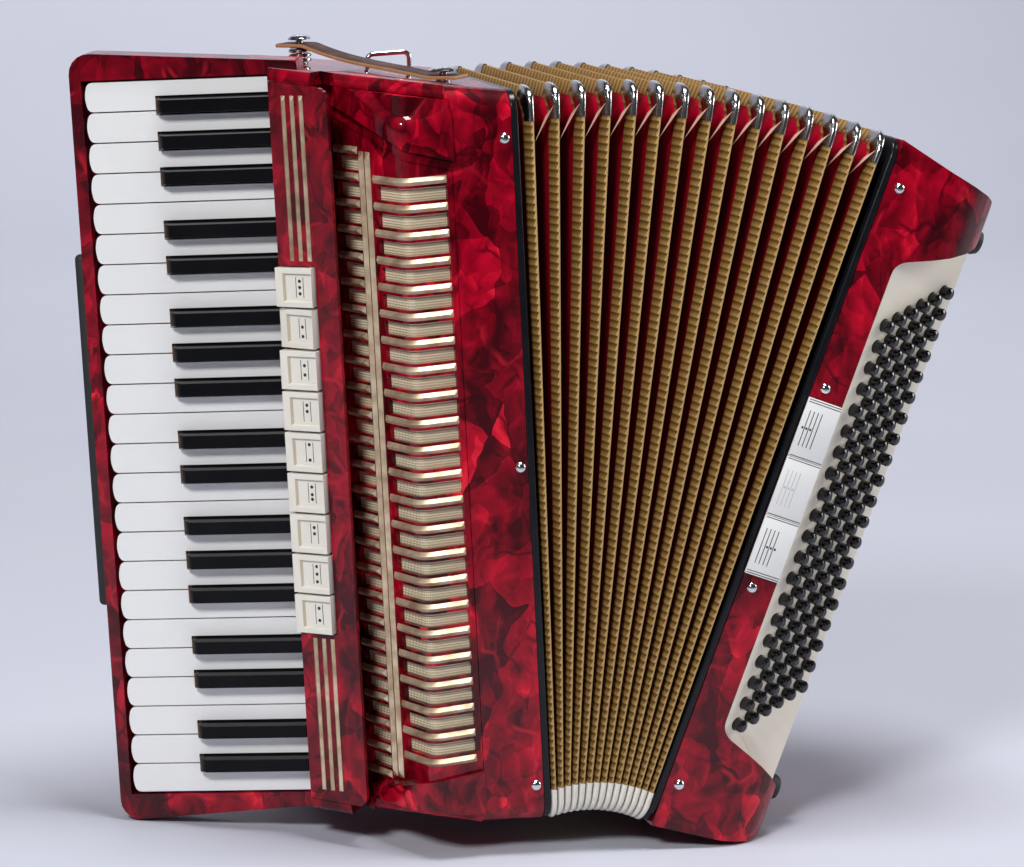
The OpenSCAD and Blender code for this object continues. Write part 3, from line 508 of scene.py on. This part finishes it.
def cap_metal():
    """Bright plated corners above, matt pale ones below."""
    made, tree, where = start_material("cap_metal")
    z, ends, sides = flat_parts(tree)[2:]
    worn = use(tree, WEAR, Vector=where, Scale=120.0, Depth=0.05)
    low = calc(tree, "LESS_THAN", z, 60.0)
    flange = span(tree, calc(tree, "MINIMUM", sides, ends), 0.6, 1.4)
    emboss = cells(tree, "F1", where, 1000.0)["Distance"]
    relief = put(tree, "Bump", Strength=times(tree, flange, 0.3), Distance=0.0004, Height=emboss,
                 Normal=worn["Normal"])
    plated = blend(tree, worn["Slow"], (0.6, 0.6, 0.6), (0.78, 0.78, 0.78))
    plated = tint(tree, plated, flange, 0.5, (0.3, 0.29, 0.28))
    pale = blend(tree, worn["Slow"], (0.68, 0.64, 0.56), (0.8, 0.77, 0.7))
    rough = vary(tree, low, 0.3, vary(tree, worn["Fine"], 0.12, 0.12))
    return finish(made, Base_Color=blend(tree, low, plated, pale), Normal=relief.outputs[0], Roughness=rough,
                  Metallic=calc(tree, "SUBTRACT", 1.0, low))


def leather():
    made, tree, where = start_material("leather")
    worn = use(tree, WEAR, Vector=where, Scale=120.0, Depth=0.3)
    grain = cells(tree, "DISTANCE_TO_EDGE", where, 900.0)["Distance"]
    relief = put(tree, "Bump", Strength=0.35, Distance=0.0004, Height=grain, Normal=worn["Normal"])
    colour = ramp(tree, worn["Slow"], [
        (0.3, (0.02, 0.007, 0.006)), (0.55, (0.05, 0.018, 0.013)), (0.75, (0.1, 0.04, 0.026))])
    return finish(made, Base_Color=colour, Roughness=0.5, Normal=relief.outputs[0], Specular_IOR_Level=0.2)


LOOKS = {
    "red": red_celluloid(),
    "ivory_key": plain("ivory_key", (0.84, 0.84, 0.83), (0.9, 0.9, 0.89), 0.22, scale=25.0, depth=0.02),
    "black_key": black_key(),
    "gilt": gilt(),
    "grille": grille_cloth(),
    "chrome": plain("chrome", (0.62, 0.62, 0.64), (0.8, 0.8, 0.82), 0.16, 0.12, 120.0, 0.03, Metallic=1.0),
    "caps": cap_metal(),
    "rubber": plain("rubber", (0.012, 0.012, 0.013), (0.025, 0.025, 0.027), 0.62, 0.2, 80.0, 0.2),
    "leather": leather(),
    "strap_edge": plain("strap_edge", (0.36, 0.17, 0.07), (0.5, 0.27, 0.13), 0.6, 0.2, 200.0, 0.3),
    "wood": plain("reed_wood", (0.42, 0.25, 0.11), (0.6, 0.4, 0.2), 0.5, 0.2, 30.0, 0.2),
    "lacquer": plain("black_lacquer", (0.004, 0.004, 0.006), (0.012, 0.013, 0.016), 0.22, 0.16, depth=0.08,
                     Specular_IOR_Level=0.25),
    "cloth": bellows_cloth(),
    "tape": bellows_tape(),
    "board": plain("cream_board", (0.9, 0.81, 0.65), (0.95, 0.89, 0.76), 0.34, scale=18.0, depth=0.03),
    "ivory": plain("ivory_switch", (0.84, 0.79, 0.68), (0.9, 0.87, 0.79), 0.3, scale=50.0, depth=0.03),
    # Darker tan for the tray walls: painted shade
    "tray": plain("tray_wall", (0.56, 0.47, 0.34), (0.68, 0.6, 0.47), 0.4, scale=50.0, depth=0.03),
    "white": plain("white_plate", (0.84, 0.84, 0.83), (0.9, 0.9, 0.89), 0.26, scale=40.0, depth=0.02),
    "button": plain("black_button", (0.002, 0.002, 0.003), (0.006, 0.006, 0.007), 0.14, 0.06, 150.0, 0.02,
                    Specular_IOR_Level=0.55),
    "ink": plain("black_ink", (0.012, 0.014, 0.014), (0.03, 0.03, 0.032), 0.5, 0.2, 300.0, 0.05),
    "worn_ink": plain("worn_ink", (0.5, 0.5, 0.5), (0.66, 0.66, 0.66), 0.5, 0.2, 300.0, 0.05),
    "gusset": plain("gusset_leather", (0.46, 0.25, 0.19), (0.66, 0.42, 0.33), 0.6, 0.2, 150.0, 0.2),
}

# The CAD nodes' finishes and the radius of their rounded edges, with None for a mesh left as it came
CAD_LOOK = {
    "treble_case": ("red", 1.6),
    "keyboard_frame": ("red", 3.2),
    "grille_cover": ("red", 0),
    "grille_bars": ("gilt", 0.35),
    "grille_mesh": ("grille", 0),
    "treble_switches": ("ivory", 0.5),
    "treble_hardware": ("chrome", 0.2),
    "leg_rest_pad": ("rubber", 1.5),
    "bellows_strap": ("leather", 0.3),
    "treble_reed_blocks": ("wood", 0.4),
    "treble_bellows_frame": ("lacquer", 1.4),
    "bellows_folds": ("cloth", 0),
    "bellows_corners": ("chrome", 0.1),
    "bass_bellows_frame": ("lacquer", 1.4),
    "bass_case": ("red", 1.6),
    "bass_button_board": ("board", 0.3),
    "bass_buttons": ("button", None),
    "bass_switches": ("white", 0.4),
    "bass_fittings": ("rubber", 0.4),
}
BLACK_KEY_LOOK = ("black_key", 0.9)
WHITE_KEY_LOOK = ("ivory_key", 0.8)


def round_edges(node, radius):
    """Rounds a CAD node's edges with modifiers, by millimetres. With 0 its faces stay flat."""
    mesh = node.data
    mesh.polygons.foreach_set("use_smooth", [radius > 0] * len(mesh.polygons))
    if "custom_normal" in mesh.attributes:
        mesh.attributes.remove(mesh.attributes["custom_normal"])
    weld = node.modifiers.new("weld", "WELD")
    weld.merge_threshold = 0.00002
    if radius:
        rounding = node.modifiers.new("round", "BEVEL")
        rounding.width = radius / 1000
        rounding.segments = 3 if radius > 1 else 2
        rounding.limit_method = "ANGLE"
        rounding.angle_limit = math.radians(32)
        rounding.harden_normals = True


for name, node in nodes.items():
    raised = name.startswith("key_") and name.endswith("s")
    look, radius = CAD_LOOK.get(name, BLACK_KEY_LOOK if raised else WHITE_KEY_LOOK)
    node.data.materials.clear()
    node.data.materials.append(LOOKS[look])
    if radius is not None:
        round_edges(node, radius)


def second_finish(obj, material, chosen):
    """Gives a further material to the faces for which chosen holds 1."""
    obj.data.materials.append(material)
    obj.data.polygons.foreach_set("material_index", chosen)


# The bass fittings are chrome studs on the front and rubber feet on the outer side
STUDS_END = 60
fittings = nodes["bass_fittings"]
to_bass = ON_BASS.inverted()
second_finish(fittings, LOOKS["chrome"],
              [int((to_bass @ f.center).x < STUDS_END) for f in fittings.data.polygons])


# Bellows: a closed stack with its depth along X, its height along Y and its folds along Z, then fanned out
CORNER_R = 14.0


def ring_tube(name, rings, steps=6):
    """Rounded oblongs joined into a tube.

    Each ring is its place in the stack and how far it lies inside the case's outline."""
    near_zero = 1e-4
    made = fresh(name, "circle", vertices=4 * steps, radius=CORNER_R, fill_type="NOTHING")

    def in_quarter(c, sx, sy):
        """True for the points of one quarter of the circle that haven't moved yet."""
        still = max(abs(c.x), abs(c.y)) < 2 * CORNER_R
        own_end = abs(c.y if sx * sy > 0 else c.x) > near_zero
        return still and own_end and c.x * sx > -near_zero and c.y * sy > -near_zero

    def fit(was, now):
        grow((CASE_D - 2 * now) / (CASE_D - 2 * was), (CASE_H - 2 * now) / (CASE_H - 2 * was), 1)

    for sx, sy in ((1, 1), (-1, 1), (-1, -1), (1, -1)):
        pick(lambda c: in_quarter(c, sx, sy), made)
        slide(sx * (CASE_D / 2 - CORNER_R), sy * (CASE_H / 2 - CORNER_R), 0)
    bpy.ops.mesh.select_all(action="SELECT")
    place, inset = rings[0]
    slide(0, 0, place)
    fit(0, inset)
    for next_place, next_inset in rings[1:]:
        draw_out(0, 0, next_place - place)
        fit(inset, next_inset)
        place, inset = next_place, next_inset
    object_mode()
    return made


def both_sides(half):
    """One fold's rings from half its profile: distances from the ridge's middle, and depths."""
    middle = FRAME_T + PITCH / 2
    left = [(middle - off, deep) for off, deep in half]
    right = [(middle + off, deep) for off, deep in reversed(half)]
    return left + right


def stack(obj, count=FOLDS):
    rows = obj.modifiers.new("stack", "ARRAY")
    rows.count = count
    rows.use_relative_offset = False
    rows.use_constant_offset = True
    rows.constant_offset_displace = (0, 0, PITCH)
    rows.use_merge_vertices = True
    rows.merge_threshold = 0.01
    apply_all(obj)


def fan_out(obj, material, replaces=(), angle=35):
    """Bends a closed stack round the fan's hinge, so that it reaches from one case to the other."""
    points = np.zeros(len(obj.data.vertices) * 3)
    obj.data.vertices.foreach_get("co", points)
    y, z, x = points.reshape(-1, 3).T + [[CASE_D / 2], [CASE_H / 2], [0]]
    deep = np.minimum(np.minimum(y, CASE_D - y), np.minimum(z, CASE_H - z))
    share = np.clip(deep / FOLD_DEPTH, 0, 1)
    place = (x - FRAME_T) / PITCH
    fold = np.clip(np.floor(place + 1e-6), 0, FOLDS - 1)
    far = place - fold > 0.5
    weight = np.clip((fold + 0.5 * (1 - share) + far * share) / FOLDS, 0, 1)
    bend = FAN * weight
    dx, dz = x - HINGE.x, z - HINGE.z
    fanned = np.stack([HINGE.x + dx * np.cos(bend) + dz * np.sin(bend), y,
                       HINGE.z + dz * np.cos(bend) - dx * np.sin(bend)], 1)
    matrix = np.array(ON_TREBLE)
    placed = fanned @ matrix[:3, :3].T + matrix[:3, 3]
    obj.data.vertices.foreach_set("co", placed.astype(np.float32).ravel())
    flat = obj.data.attributes.new("flat", "FLOAT_VECTOR", "POINT")
    flat.data.foreach_set("vector", np.stack([x, y, z], 1).astype(np.float32).ravel())
    dress(obj, material, angle)
    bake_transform(obj)
    enter(replaces)


SKIN_PROFILE = [(PITCH / 2, FOLD_DEPTH), (1.0, 0.5)]
TAPE_PROFILE = [(1.2, 8.3), (1.52, 7.8), (1.4, 0.5), (1.0, -0.25)]
skin = ring_tube("bellows_skin", both_sides(SKIN_PROFILE))
stack(skin)
fan_out(skin, LOOKS["cloth"], ("bellows_folds",), 20)

tape = ring_tube("bellows_tape", both_sides(TAPE_PROFILE))
stack(tape)
fan_out(tape, LOOKS["tape"])

# Metal caps: the ridge's outline again, cut down to one corner and mirrored to all four
CAP_REACH = 20.5
CAP_PROFILE = [(1.5, 6.2), (1.75, 5.8), (1.72, 0.4), (1.35, -0.5), (0.7, -0.9)]
caps = ring_tube("bellows_corner_caps", both_sides(CAP_PROFILE), steps=8)
edit_mode()
for half, normal in ((CASE_D / 2, (1, 0, 0)), (CASE_H / 2, (0, 1, 0))):
    bpy.ops.mesh.select_all(action="SELECT")
    bpy.ops.mesh.bisect(plane_co=Vector(normal) * (half - CAP_REACH), plane_no=normal, clear_inner=True)
object_mode()
twin = caps.modifiers.new("twin", "MIRROR")
twin.use_axis = (True, True, False)
apply_all(caps)
stack(caps)
fan_out(caps, LOOKS["caps"], ("bellows_corners",), 50)

# Slim points of gusset leather that reach across each valley under the upper corners
GUSSET_T = 0.08
GUSSET_FOOT = 34
GUSSET_INNER = {"high": (10.5, 19, 0.3), "low": (3.6, GUSSET_FOOT, -0.25)}
GUSSET_OUTER = {"high": (1.0, 12, 0.3), "low": (2.6, GUSSET_FOOT, -0.25)}
slip = fresh("bellows_gussets", "cube", size=2)
object_mode()
for v in slip.data.vertices:
    edge = GUSSET_INNER if v.co.x > 0 else GUSSET_OUTER
    deep, down, off = edge["high" if v.co.y > 0 else "low"]
    off += GUSSET_T / 2 if v.co.z > 0 else -GUSSET_T / 2
    v.co = (deep - CASE_D / 2, CASE_H / 2 - down, FRAME_T + PITCH + off)
back = slip.modifiers.new("back", "MIRROR")
back.use_axis = (True, False, False)
apply_all(slip)
stack(slip, FOLDS - 1)
fan_out(slip, LOOKS["gusset"], (), 40)

# The strap that holds the bellows shut, buttoned on its two posts
POST_L = Vector((-103, 131))
POST_R = Vector((-29, 50))
POST_HOLE_R = 2.8
STRAP_W = 17
STRAP_T = 2.3
STRAP_PAST = 14
STRAP_LEVEL = 8
STRAP_SAG = 16
STRAP_CORNER = 2.2
STRAP_RIM = 0.4
STRAP_STEPS = 40
STRAP_L = (POST_R - POST_L).length
STRAP_Z0 = top_z(POST_L.x) + 13
STRAP_Z1 = top_z(POST_R.x) + 4


def strap_height(s):
    """Height of the strap's underside at a distance from the left post."""
    f = unit((s - STRAP_LEVEL) / (STRAP_L - 2 * STRAP_LEVEL))
    return STRAP_Z0 + (STRAP_Z1 - STRAP_Z0) * f - STRAP_SAG * f * (1 - f) ** 2


strap = fresh("strap_leather", "plane", size=1)
grow(0.001, STRAP_W, 1)
bpy.ops.mesh.remove_doubles(threshold=0.01)
slide(-STRAP_PAST, 0, strap_height(-STRAP_PAST))
places = [-STRAP_PAST + (STRAP_L + 2 * STRAP_PAST) * i / STRAP_STEPS for i in range(STRAP_STEPS + 1)]
for near, far in zip(places, places[1:]):
    step = (far - near, 0, strap_height(far) - strap_height(near))
    bpy.ops.mesh.extrude_edges_move(TRANSFORM_OT_translate={"value": step})
pick(lambda c: abs(c.x - STRAP_L / 2) > STRAP_L / 2 + STRAP_PAST - 0.1, strap)
bpy.ops.mesh.bevel(offset=STRAP_CORNER, segments=3, affect="VERTICES")
object_mode()
thick = strap.modifiers.new("thick", "SOLIDIFY")
thick.thickness = STRAP_T
thick.offset = 1.0
apply_all(strap)
for s in (0, STRAP_L):
    punch = fresh("punch", "cylinder", radius=POST_HOLE_R, depth=30, vertices=24)
    slide(s, 0, strap_height(s))
    object_mode()
    hole = strap.modifiers.new("hole", "BOOLEAN")
    hole.operation = "DIFFERENCE"
    hole.solver = "EXACT"
    hole.object = punch
    apply_all(strap)
    bpy.data.objects.remove(punch)
rim = strap.modifiers.new("rim", "BEVEL")
rim.width = STRAP_RIM
rim.segments = 2
rim.limit_method = "ANGLE"
rim.angle_limit = math.radians(50)
apply_all(strap)
along = POST_R - POST_L
on_posts = ON_TREBLE @ move(POST_L.x, POST_L.y, 0) @ turn(math.atan2(along.y, along.x), "Z")
settle(strap, on_posts, "treble", LOOKS["leather"], ("bellows_strap",))
second_finish(strap, LOOKS["strap_edge"], [int(abs(f.normal.z) < 0.6) for f in strap.data.polygons])


ROUND_STEPS = 40


def turned(name, profile, at):
    """A round piece built up from a disc: each step is a radius and a height above the first."""
    made = fresh(name, "circle", vertices=ROUND_STEPS, radius=profile[0][0], fill_type="NGON")
    bpy.ops.mesh.select_mode(type="FACE")
    bpy.ops.mesh.select_all(action="SELECT")
    for (r0, h0), (r1, h1) in zip(profile, profile[1:]):
        draw_out(0, 0, h1 - h0)
        grow(r1 / r0, r1 / r0, 1)
    bpy.ops.mesh.select_mode(type="VERT")
    object_mode()
    made.data.transform(move(*at))
    return made


def domed_head(post, base, wide):
    profile = [(wide - 0.6, 0), (wide, 0.3), (wide, 0.9), (wide * 0.86, 1.9), (wide * 0.62, 2.7),
               (wide * 0.34, 3.2), (0.8, 3.35)]
    return turned("head", profile, (post.x, post.y, base))


# Grooved spacers and broad domed heads on the two strap posts
SPACERS = 4
SPACER_PITCH = 3
SPACER_PROFILE = [(6.2, 0), (7.2, 0.5), (7.4, 1.2), (7.2, 1.9), (6.2, 2.4)]
HEAD_SEAT = STRAP_T + 0.05
HEAD_L_R = 7.4
HEAD_R_R = 9.4
spacer = turned("spacer", SPACER_PROFILE, (POST_L.x, POST_L.y, STRAP_Z0 - SPACERS * SPACER_PITCH))
studs = row(spacer, SPACERS, (0, 0, SPACER_PITCH))
studs.append(domed_head(POST_L, STRAP_Z0 + HEAD_SEAT, HEAD_L_R))
studs.append(domed_head(POST_R, STRAP_Z1 + HEAD_SEAT, HEAD_R_R))
settle(join("strap_studs", studs), ON_TREBLE, "treble", LOOKS["chrome"])

# Padded rest on the back of the keyboard, standing out past its edge
REST_EDGE = -138.5
REST_SIZE = (31, 8, 234)
REST_AT = (REST_EDGE + REST_SIZE[0] / 2, 29, 257)
REST_ROUND = 3.4
rest = block("leg_rest_cushion", REST_SIZE, REST_AT, REST_ROUND, 4)
settle(rest, ON_KEYS, "treble", LOOKS["rubber"], ("leg_rest_pad",))

# Smooth hood over the upper hood of the grille, with a turned-in lip and a narrow band under it
HOOD_FOOT = Vector((-99.26, 69.04))
HOOD_BEND = Vector((-72.4, -3))
HOOD_END = Vector((-39.3, 0.5))
HOOD_BEND_R = 9
HOOD_BEND_STEPS = 12
HOOD_LEFT = HOOD_FOOT + Vector((-1, -22))
HOOD_RIGHT = Vector((-42, 1.5))
HOOD_STARTS = 8.4
HOOD_SWELL = 18
HOOD_PROUD = 0.6
HOOD_TUCK = Vector((3, 4))
HOOD_OUT = 3.8
BAND_OUT = 1.3
LIP_IN = 0.2
LIP_TURN = 0.25
LIP_FALL = 0.5
LIP_X = (-100.5, HOOD_BEND.x, -38)
LIP_DROP = (7, 31, 40.6)
BAND_STEPS = (1, 1, -5.6, -6.3, -6.6)
COLUMNS = 60
ROWS = 18
LIP_ROW = ROWS - 3


def outward(d):
    return Vector((d.y, -d.x))


def wall_line(off):
    """Even points along the grille's plan, round its bend, that far outside it."""
    d1, d2 = (HOOD_BEND - HOOD_FOOT).normalized(), (HOOD_END - HOOD_BEND).normalized()
    n1, n2 = outward(d1), outward(d2)
    corner = HOOD_BEND + (n1 + n2) * off / (1 + n1.dot(n2))
    pull = math.tan(d1.angle(d2) / 2) * (HOOD_BEND_R + off)
    before, after = corner - d1 * pull, corner + d2 * pull
    points = [HOOD_FOOT + n1 * off]
    for k in range(HOOD_BEND_STEPS + 1):
        t = k / HOOD_BEND_STEPS
        points.append(before * (1 - t) ** 2 + corner * 2 * t * (1 - t) + after * t * t)
    points.append(HOOD_END + n2 * off)
    run = [0.0]
    for a, b in zip(points, points[1:]):
        run.append(run[-1] + (b - a).length)
    even = np.linspace(0, run[-1], COLUMNS)
    xs, ys = (np.interp(even, run, [p[i] for p in points]) for i in (0, 1))
    return [Vector(p) for p in zip(xs, ys)]


def lip_z(x):
    return CASE_H - float(np.interp(x, LIP_X, LIP_DROP))


def drape(name, columns, rows, place):
    """A grid whose points go where place(column, row) says."""
    made = fresh(name, "grid", x_subdivisions=columns - 1, y_subdivisions=rows - 1, size=2)
    object_mode()
    for v in made.data.vertices:
        v.co = place(round((v.co.x + 1) / 2 * (columns - 1)), round((v.co.y + 1) / 2 * (rows - 1)))
    return made


hood_line = wall_line(HOOD_OUT)
band_line = wall_line(BAND_OUT)
lip_line = wall_line(LIP_IN)


def hood_at(column, row_number):
    """Swells out from the end plate to the lip, then turns in under it."""
    far = hood_line[column]
    x = far.x
    down = min(row_number, LIP_ROW) / LIP_ROW
    z = (top_z(x) - HOOD_STARTS) * (1 - down) + lip_z(x) * down
    plate = HOOD_RIGHT - HOOD_LEFT
    near = HOOD_LEFT + plate * unit((x - HOOD_LEFT.x) / plate.x) + outward(plate.normalized()) * HOOD_PROUD
    spot = near.lerp(far, math.sin(unit((CASE_H + 1 - z) / HOOD_SWELL) * math.pi / 2))
    if row_number > LIP_ROW:
        spot = spot.lerp(lip_line[column], LIP_TURN if row_number == LIP_ROW + 1 else 1.0)
        z -= LIP_FALL
    if column == 0:
        spot += HOOD_TUCK
    return (spot.x, spot.y, z)


def band_at(column, row_number):
    """A strip whose first and last rows lie in against the wall."""
    line = lip_line if row_number in (0, len(BAND_STEPS) - 1) else band_line
    return (line[column].x, line[column].y, lip_z(band_line[column].x) + BAND_STEPS[row_number])


hood_parts = [drape("hood", COLUMNS, ROWS, hood_at), drape("band", COLUMNS, len(BAND_STEPS), band_at)]
settle(join("grille_hood", hood_parts), ON_TREBLE, "treble", LOOKS["red"], (), 40)


# Printed marks: thin lines and dots
LINE_T = 0.12
DOT_T = 0.1


def dot(at, radius):
    made = fresh("dot", "cylinder", vertices=14, radius=radius, depth=DOT_T)
    object_mode()
    made.data.transform(move(*at) @ turn(math.pi / 2, "X"))
    return made


# Treble register switches: ivory tabs with a shallow tray that opens to the right, marked with lines and dots
SWITCHES = 9
PRESSED = SWITCHES - 2
SWITCH_PITCH = 26.5
SWITCH_MID = 250
SWITCH_GAP = 1.6
SWITCH_X0 = -1.0
SWITCH_X1 = 26.0
SWITCH_X = (SWITCH_X0 + SWITCH_X1) / 2
SWITCH_Y = -0.2
SWITCH_T = 8.4
SWITCH_EDGE = 0.45
FACE_RISE = 0.9
SWITCH_DIP = math.radians(-9)
ROCKER = Vector((23.0, 1.5, 0))
TRAY_RIM = 3.4
TRAY_DEPTH = 2.0
TRAY_SHIFT = 2.5
TRAY_STRETCH = 1.05
TRAY_FLOOR = (0.94, 1, 0.9)
TRAY_FLOOR_FROM = (25.6, 0, -1.5)
TRAY_START = (6.5, -1.67)
TRAY_SLOPE = 0.0353
LINE_SIZE = (0.4, LINE_T, 13)
LINE_X = (13.2, 18.6)
DOT_X = sum(LINE_X) / 2
DOT_R = 1.1
DOTS = [(-4, 4), (-5, 5, 0), (4, 0), (-4, -1, 4), (5, -5), (0, 4), (-3, 3), (1, -5), (4, -4, 0)]


def switch_tab():
    """A tab that rises to the right, with a tray let into its face."""
    tab = fresh("tab", "cube", size=1)
    grow(SWITCH_X1 - SWITCH_X0, SWITCH_T, SWITCH_PITCH - SWITCH_GAP)
    slide(SWITCH_X, SWITCH_Y, 0)
    pick(lambda c: c.y < 0 and c.x < 0, tab)
    slide(0, FACE_RISE, 0)
    pick_faces(lambda f: f.normal.y < -0.9, tab)
    bpy.ops.mesh.inset(thickness=TRAY_RIM)
    grow(TRAY_STRETCH, 1, 1, (SWITCH_X, 0, 0))
    slide(TRAY_SHIFT, 0, 0)
    draw_out(0, TRAY_DEPTH, 0)
    grow(*TRAY_FLOOR, TRAY_FLOOR_FROM)
    bpy.ops.mesh.select_mode(type="VERT")
    object_mode()
    edge = tab.modifiers.new("edge", "BEVEL")
    edge.width = SWITCH_EDGE
    edge.segments = 3
    edge.limit_method = "ANGLE"
    apply_all(tab)
    return tab


def in_shade(f):
    """1 for the walls on the left of and above a tray, which get painted shade."""
    wall = -3.5 < f.center.y < -1.7
    left = f.normal.x > 0.3 and f.center.x < 9
    upper = f.normal.z < -0.3 and f.center.x > 3
    return int(wall and (left or upper))


def on_tray(x, z):
    """A place on the tray's sloping floor."""
    return (x, TRAY_START[1] - (x - TRAY_START[0]) * TRAY_SLOPE, z)


def switch_place(i):
    place = move(0, 0, SWITCH_MID + (i - SWITCHES / 2 + 0.5) * SWITCH_PITCH)
    if i == PRESSED:
        place = place @ move(*ROCKER) @ turn(SWITCH_DIP, "Z") @ move(*-ROCKER)
    return place


tabs = row(switch_tab(), SWITCHES, (0, 0, 0))
shaded = [in_shade(f) for f in tabs[0].data.polygons] * SWITCHES
marks = []
for i, tab in enumerate(tabs):
    here = [block("line", LINE_SIZE, on_tray(x, 0)) for x in LINE_X]
    here += [dot(on_tray(DOT_X, z), DOT_R) for z in DOTS[i]]
    for piece in (tab, *here):
        piece.data.transform(switch_place(i))
    marks += here
switches = join("switch_tabs", tabs)
settle(switches, ON_STRIP, "treble_switches", LOOKS["ivory"], ("treble_switches",), 30)
# Painted shade on the tray's left and upper walls
second_finish(switches, LOOKS["tray"], shaded)
settle(join("switch_marks", marks), ON_STRIP, "treble_switches", LOOKS["ink"])

# Bass register plates: white, with ruled lines and dots, and rules across their ends
PLATES = 3
WORN_PLATE = 1
PLATE_PITCH = 40.5
PLATE_MID = 237.7
PLATE_X = 10.6
PLATE_Y = -3.45
PLATE_SIZE = (24.0, 2.5, 40.2)
PLATE_EDGE = 0.3
PLATE_FACE = -4.72
RULES = 4
RULE_X = 2.2
RULE_PITCH = 2.9
RULE_SIZE = (0.55, LINE_T, 24)
PLATE_DOTS = 3
PLATE_DOT_R = 0.8
FIRST_DOT = (1.5, 0.5, -0.5)
END_RULE_SIZE = (23.4, LINE_T, 0.5)
END_RULES = ((1.2, 2.8, 39.3), (1.2, 39.3), (1.2, 37.7, 39.3))


def rule_x(k):
    return RULE_X + RULE_PITCH * k


first_z = PLATE_MID - (PLATES - 1) / 2 * PLATE_PITCH
plate = block("plate", PLATE_SIZE, (PLATE_X, PLATE_Y, first_z), PLATE_EDGE)
plates = row(plate, PLATES, (0, 0, PLATE_PITCH))
marks, faint = [], []
for i in range(PLATES):
    z = first_z + i * PLATE_PITCH
    foot = z - PLATE_PITCH / 2
    here = faint if i == WORN_PLATE else marks
    here += [block("rule", RULE_SIZE, (rule_x(k), PLATE_FACE, z)) for k in range(RULES)]
    here += [dot((rule_x(k + FIRST_DOT[i]), PLATE_FACE, z), PLATE_DOT_R) for k in range(PLATE_DOTS)]
    marks += [block("rule", END_RULE_SIZE, (PLATE_X, PLATE_FACE, foot + end)) for end in END_RULES[i]]
settle(join("register_plates", plates), ON_BASS, "bass_switches", LOOKS["white"],
       ("bass_switches",), 30)
settle(join("register_marks", marks), ON_BASS, "bass_switches", LOOKS["ink"])
settle(join("register_marks_worn", faint), ON_BASS, "bass_switches", LOOKS["worn_ink"])


def studio_paper():
    """Pale paper with painted shade in front, where the glossy cases mirror it."""
    made, tree, where = start_material("studio_paper")
    worn = use(tree, WEAR, Vector=where, Scale=3.0, Depth=0.02)
    colour = blend(tree, worn["Slow"], (0.5, 0.512, 0.598), (0.53, 0.542, 0.62))
    forward = put(tree, "SeparateXYZ", Vector=where).outputs[1]
    back = put(tree, "MapRange", {"interpolation_type": "SMOOTHSTEP"}, Value=forward,
               From_Min=-1.1, From_Max=-0.4).outputs[0]
    # Painted shade: the paper goes dark towards the front
    return finish(made, Base_Color=blend(tree, back, (0.2, 0.205, 0.24), colour), Roughness=0.8)


# Stage, in metres: a pale sweep, soft lamps and the camera at the photo's place
SWEEP = 18
WALL_Y = 4.6
WALL_H = 4
WALL_BEND = 1.4
floor = fresh("studio_sweep", "plane", size=SWEEP)
pick(lambda c: c.y > 0, floor)
slide(0, WALL_Y - SWEEP / 2, 0)
draw_out(0, 0, WALL_H)
pick(lambda c: c.y > 0 and c.z < WALL_H / 2, floor)
bpy.ops.mesh.bevel(offset=WALL_BEND, segments=20, affect="EDGES")
object_mode()
smooth(floor, 60)
floor.data.materials.append(studio_paper())


def lamp(name, at, look, size, power):
    data = bpy.data.lights.new(name, "AREA")
    data.shape = "SQUARE"
    data.size = size
    data.energy = power
    made = bpy.data.objects.new(name, data)
    bpy.context.scene.collection.objects.link(made)
    made.location = at
    made.rotation_euler = (Vector(look) - Vector(at)).to_track_quat("-Z", "Y").to_euler()


lamp("lamp_key", (-1.6, -2.1, 2.1), (0, 0, 0.25), 0.6, 65)
lamp("lamp_top", (0.1, -0.35, 2.4), (0, 0, 0), 0.7, 42)
lamp("lamp_side", (2.8, -0.3, 1.2), (0, 0, 0.3), 1.2, 38)
lamp("lamp_back", (0.9, 2.7, 3.2), (0.9, 5.2, 0.4), 3.0, 106)
world = bpy.data.worlds.new("studio_air")
bpy.context.scene.world = world
world.use_nodes = True
air = world.node_tree.nodes["Background"]
air.inputs["Color"].default_value = (0.78, 0.8, 0.9, 1)
air.inputs["Strength"].default_value = 0.05

CAMERA_AT = Vector((-0.666143, -2.257139, 0.661))
CAMERA_TURN = Euler([math.radians(angle) for angle in (80.33316, -2.23682, -15.89455)])
camera = bpy.data.objects.new("photo_camera", bpy.data.cameras.new("photo_camera"))
bpy.context.scene.collection.objects.link(camera)
camera.data.sensor_width = 36
camera.data.lens = 127.0
camera.data.clip_start = 0.1
camera.data.clip_end = 50
camera.matrix_world = Matrix.LocRotScale(CAMERA_AT, CAMERA_TURN, None)
bpy.context.scene.camera = camera
bpy.context.scene.view_settings.view_transform = "Standard"
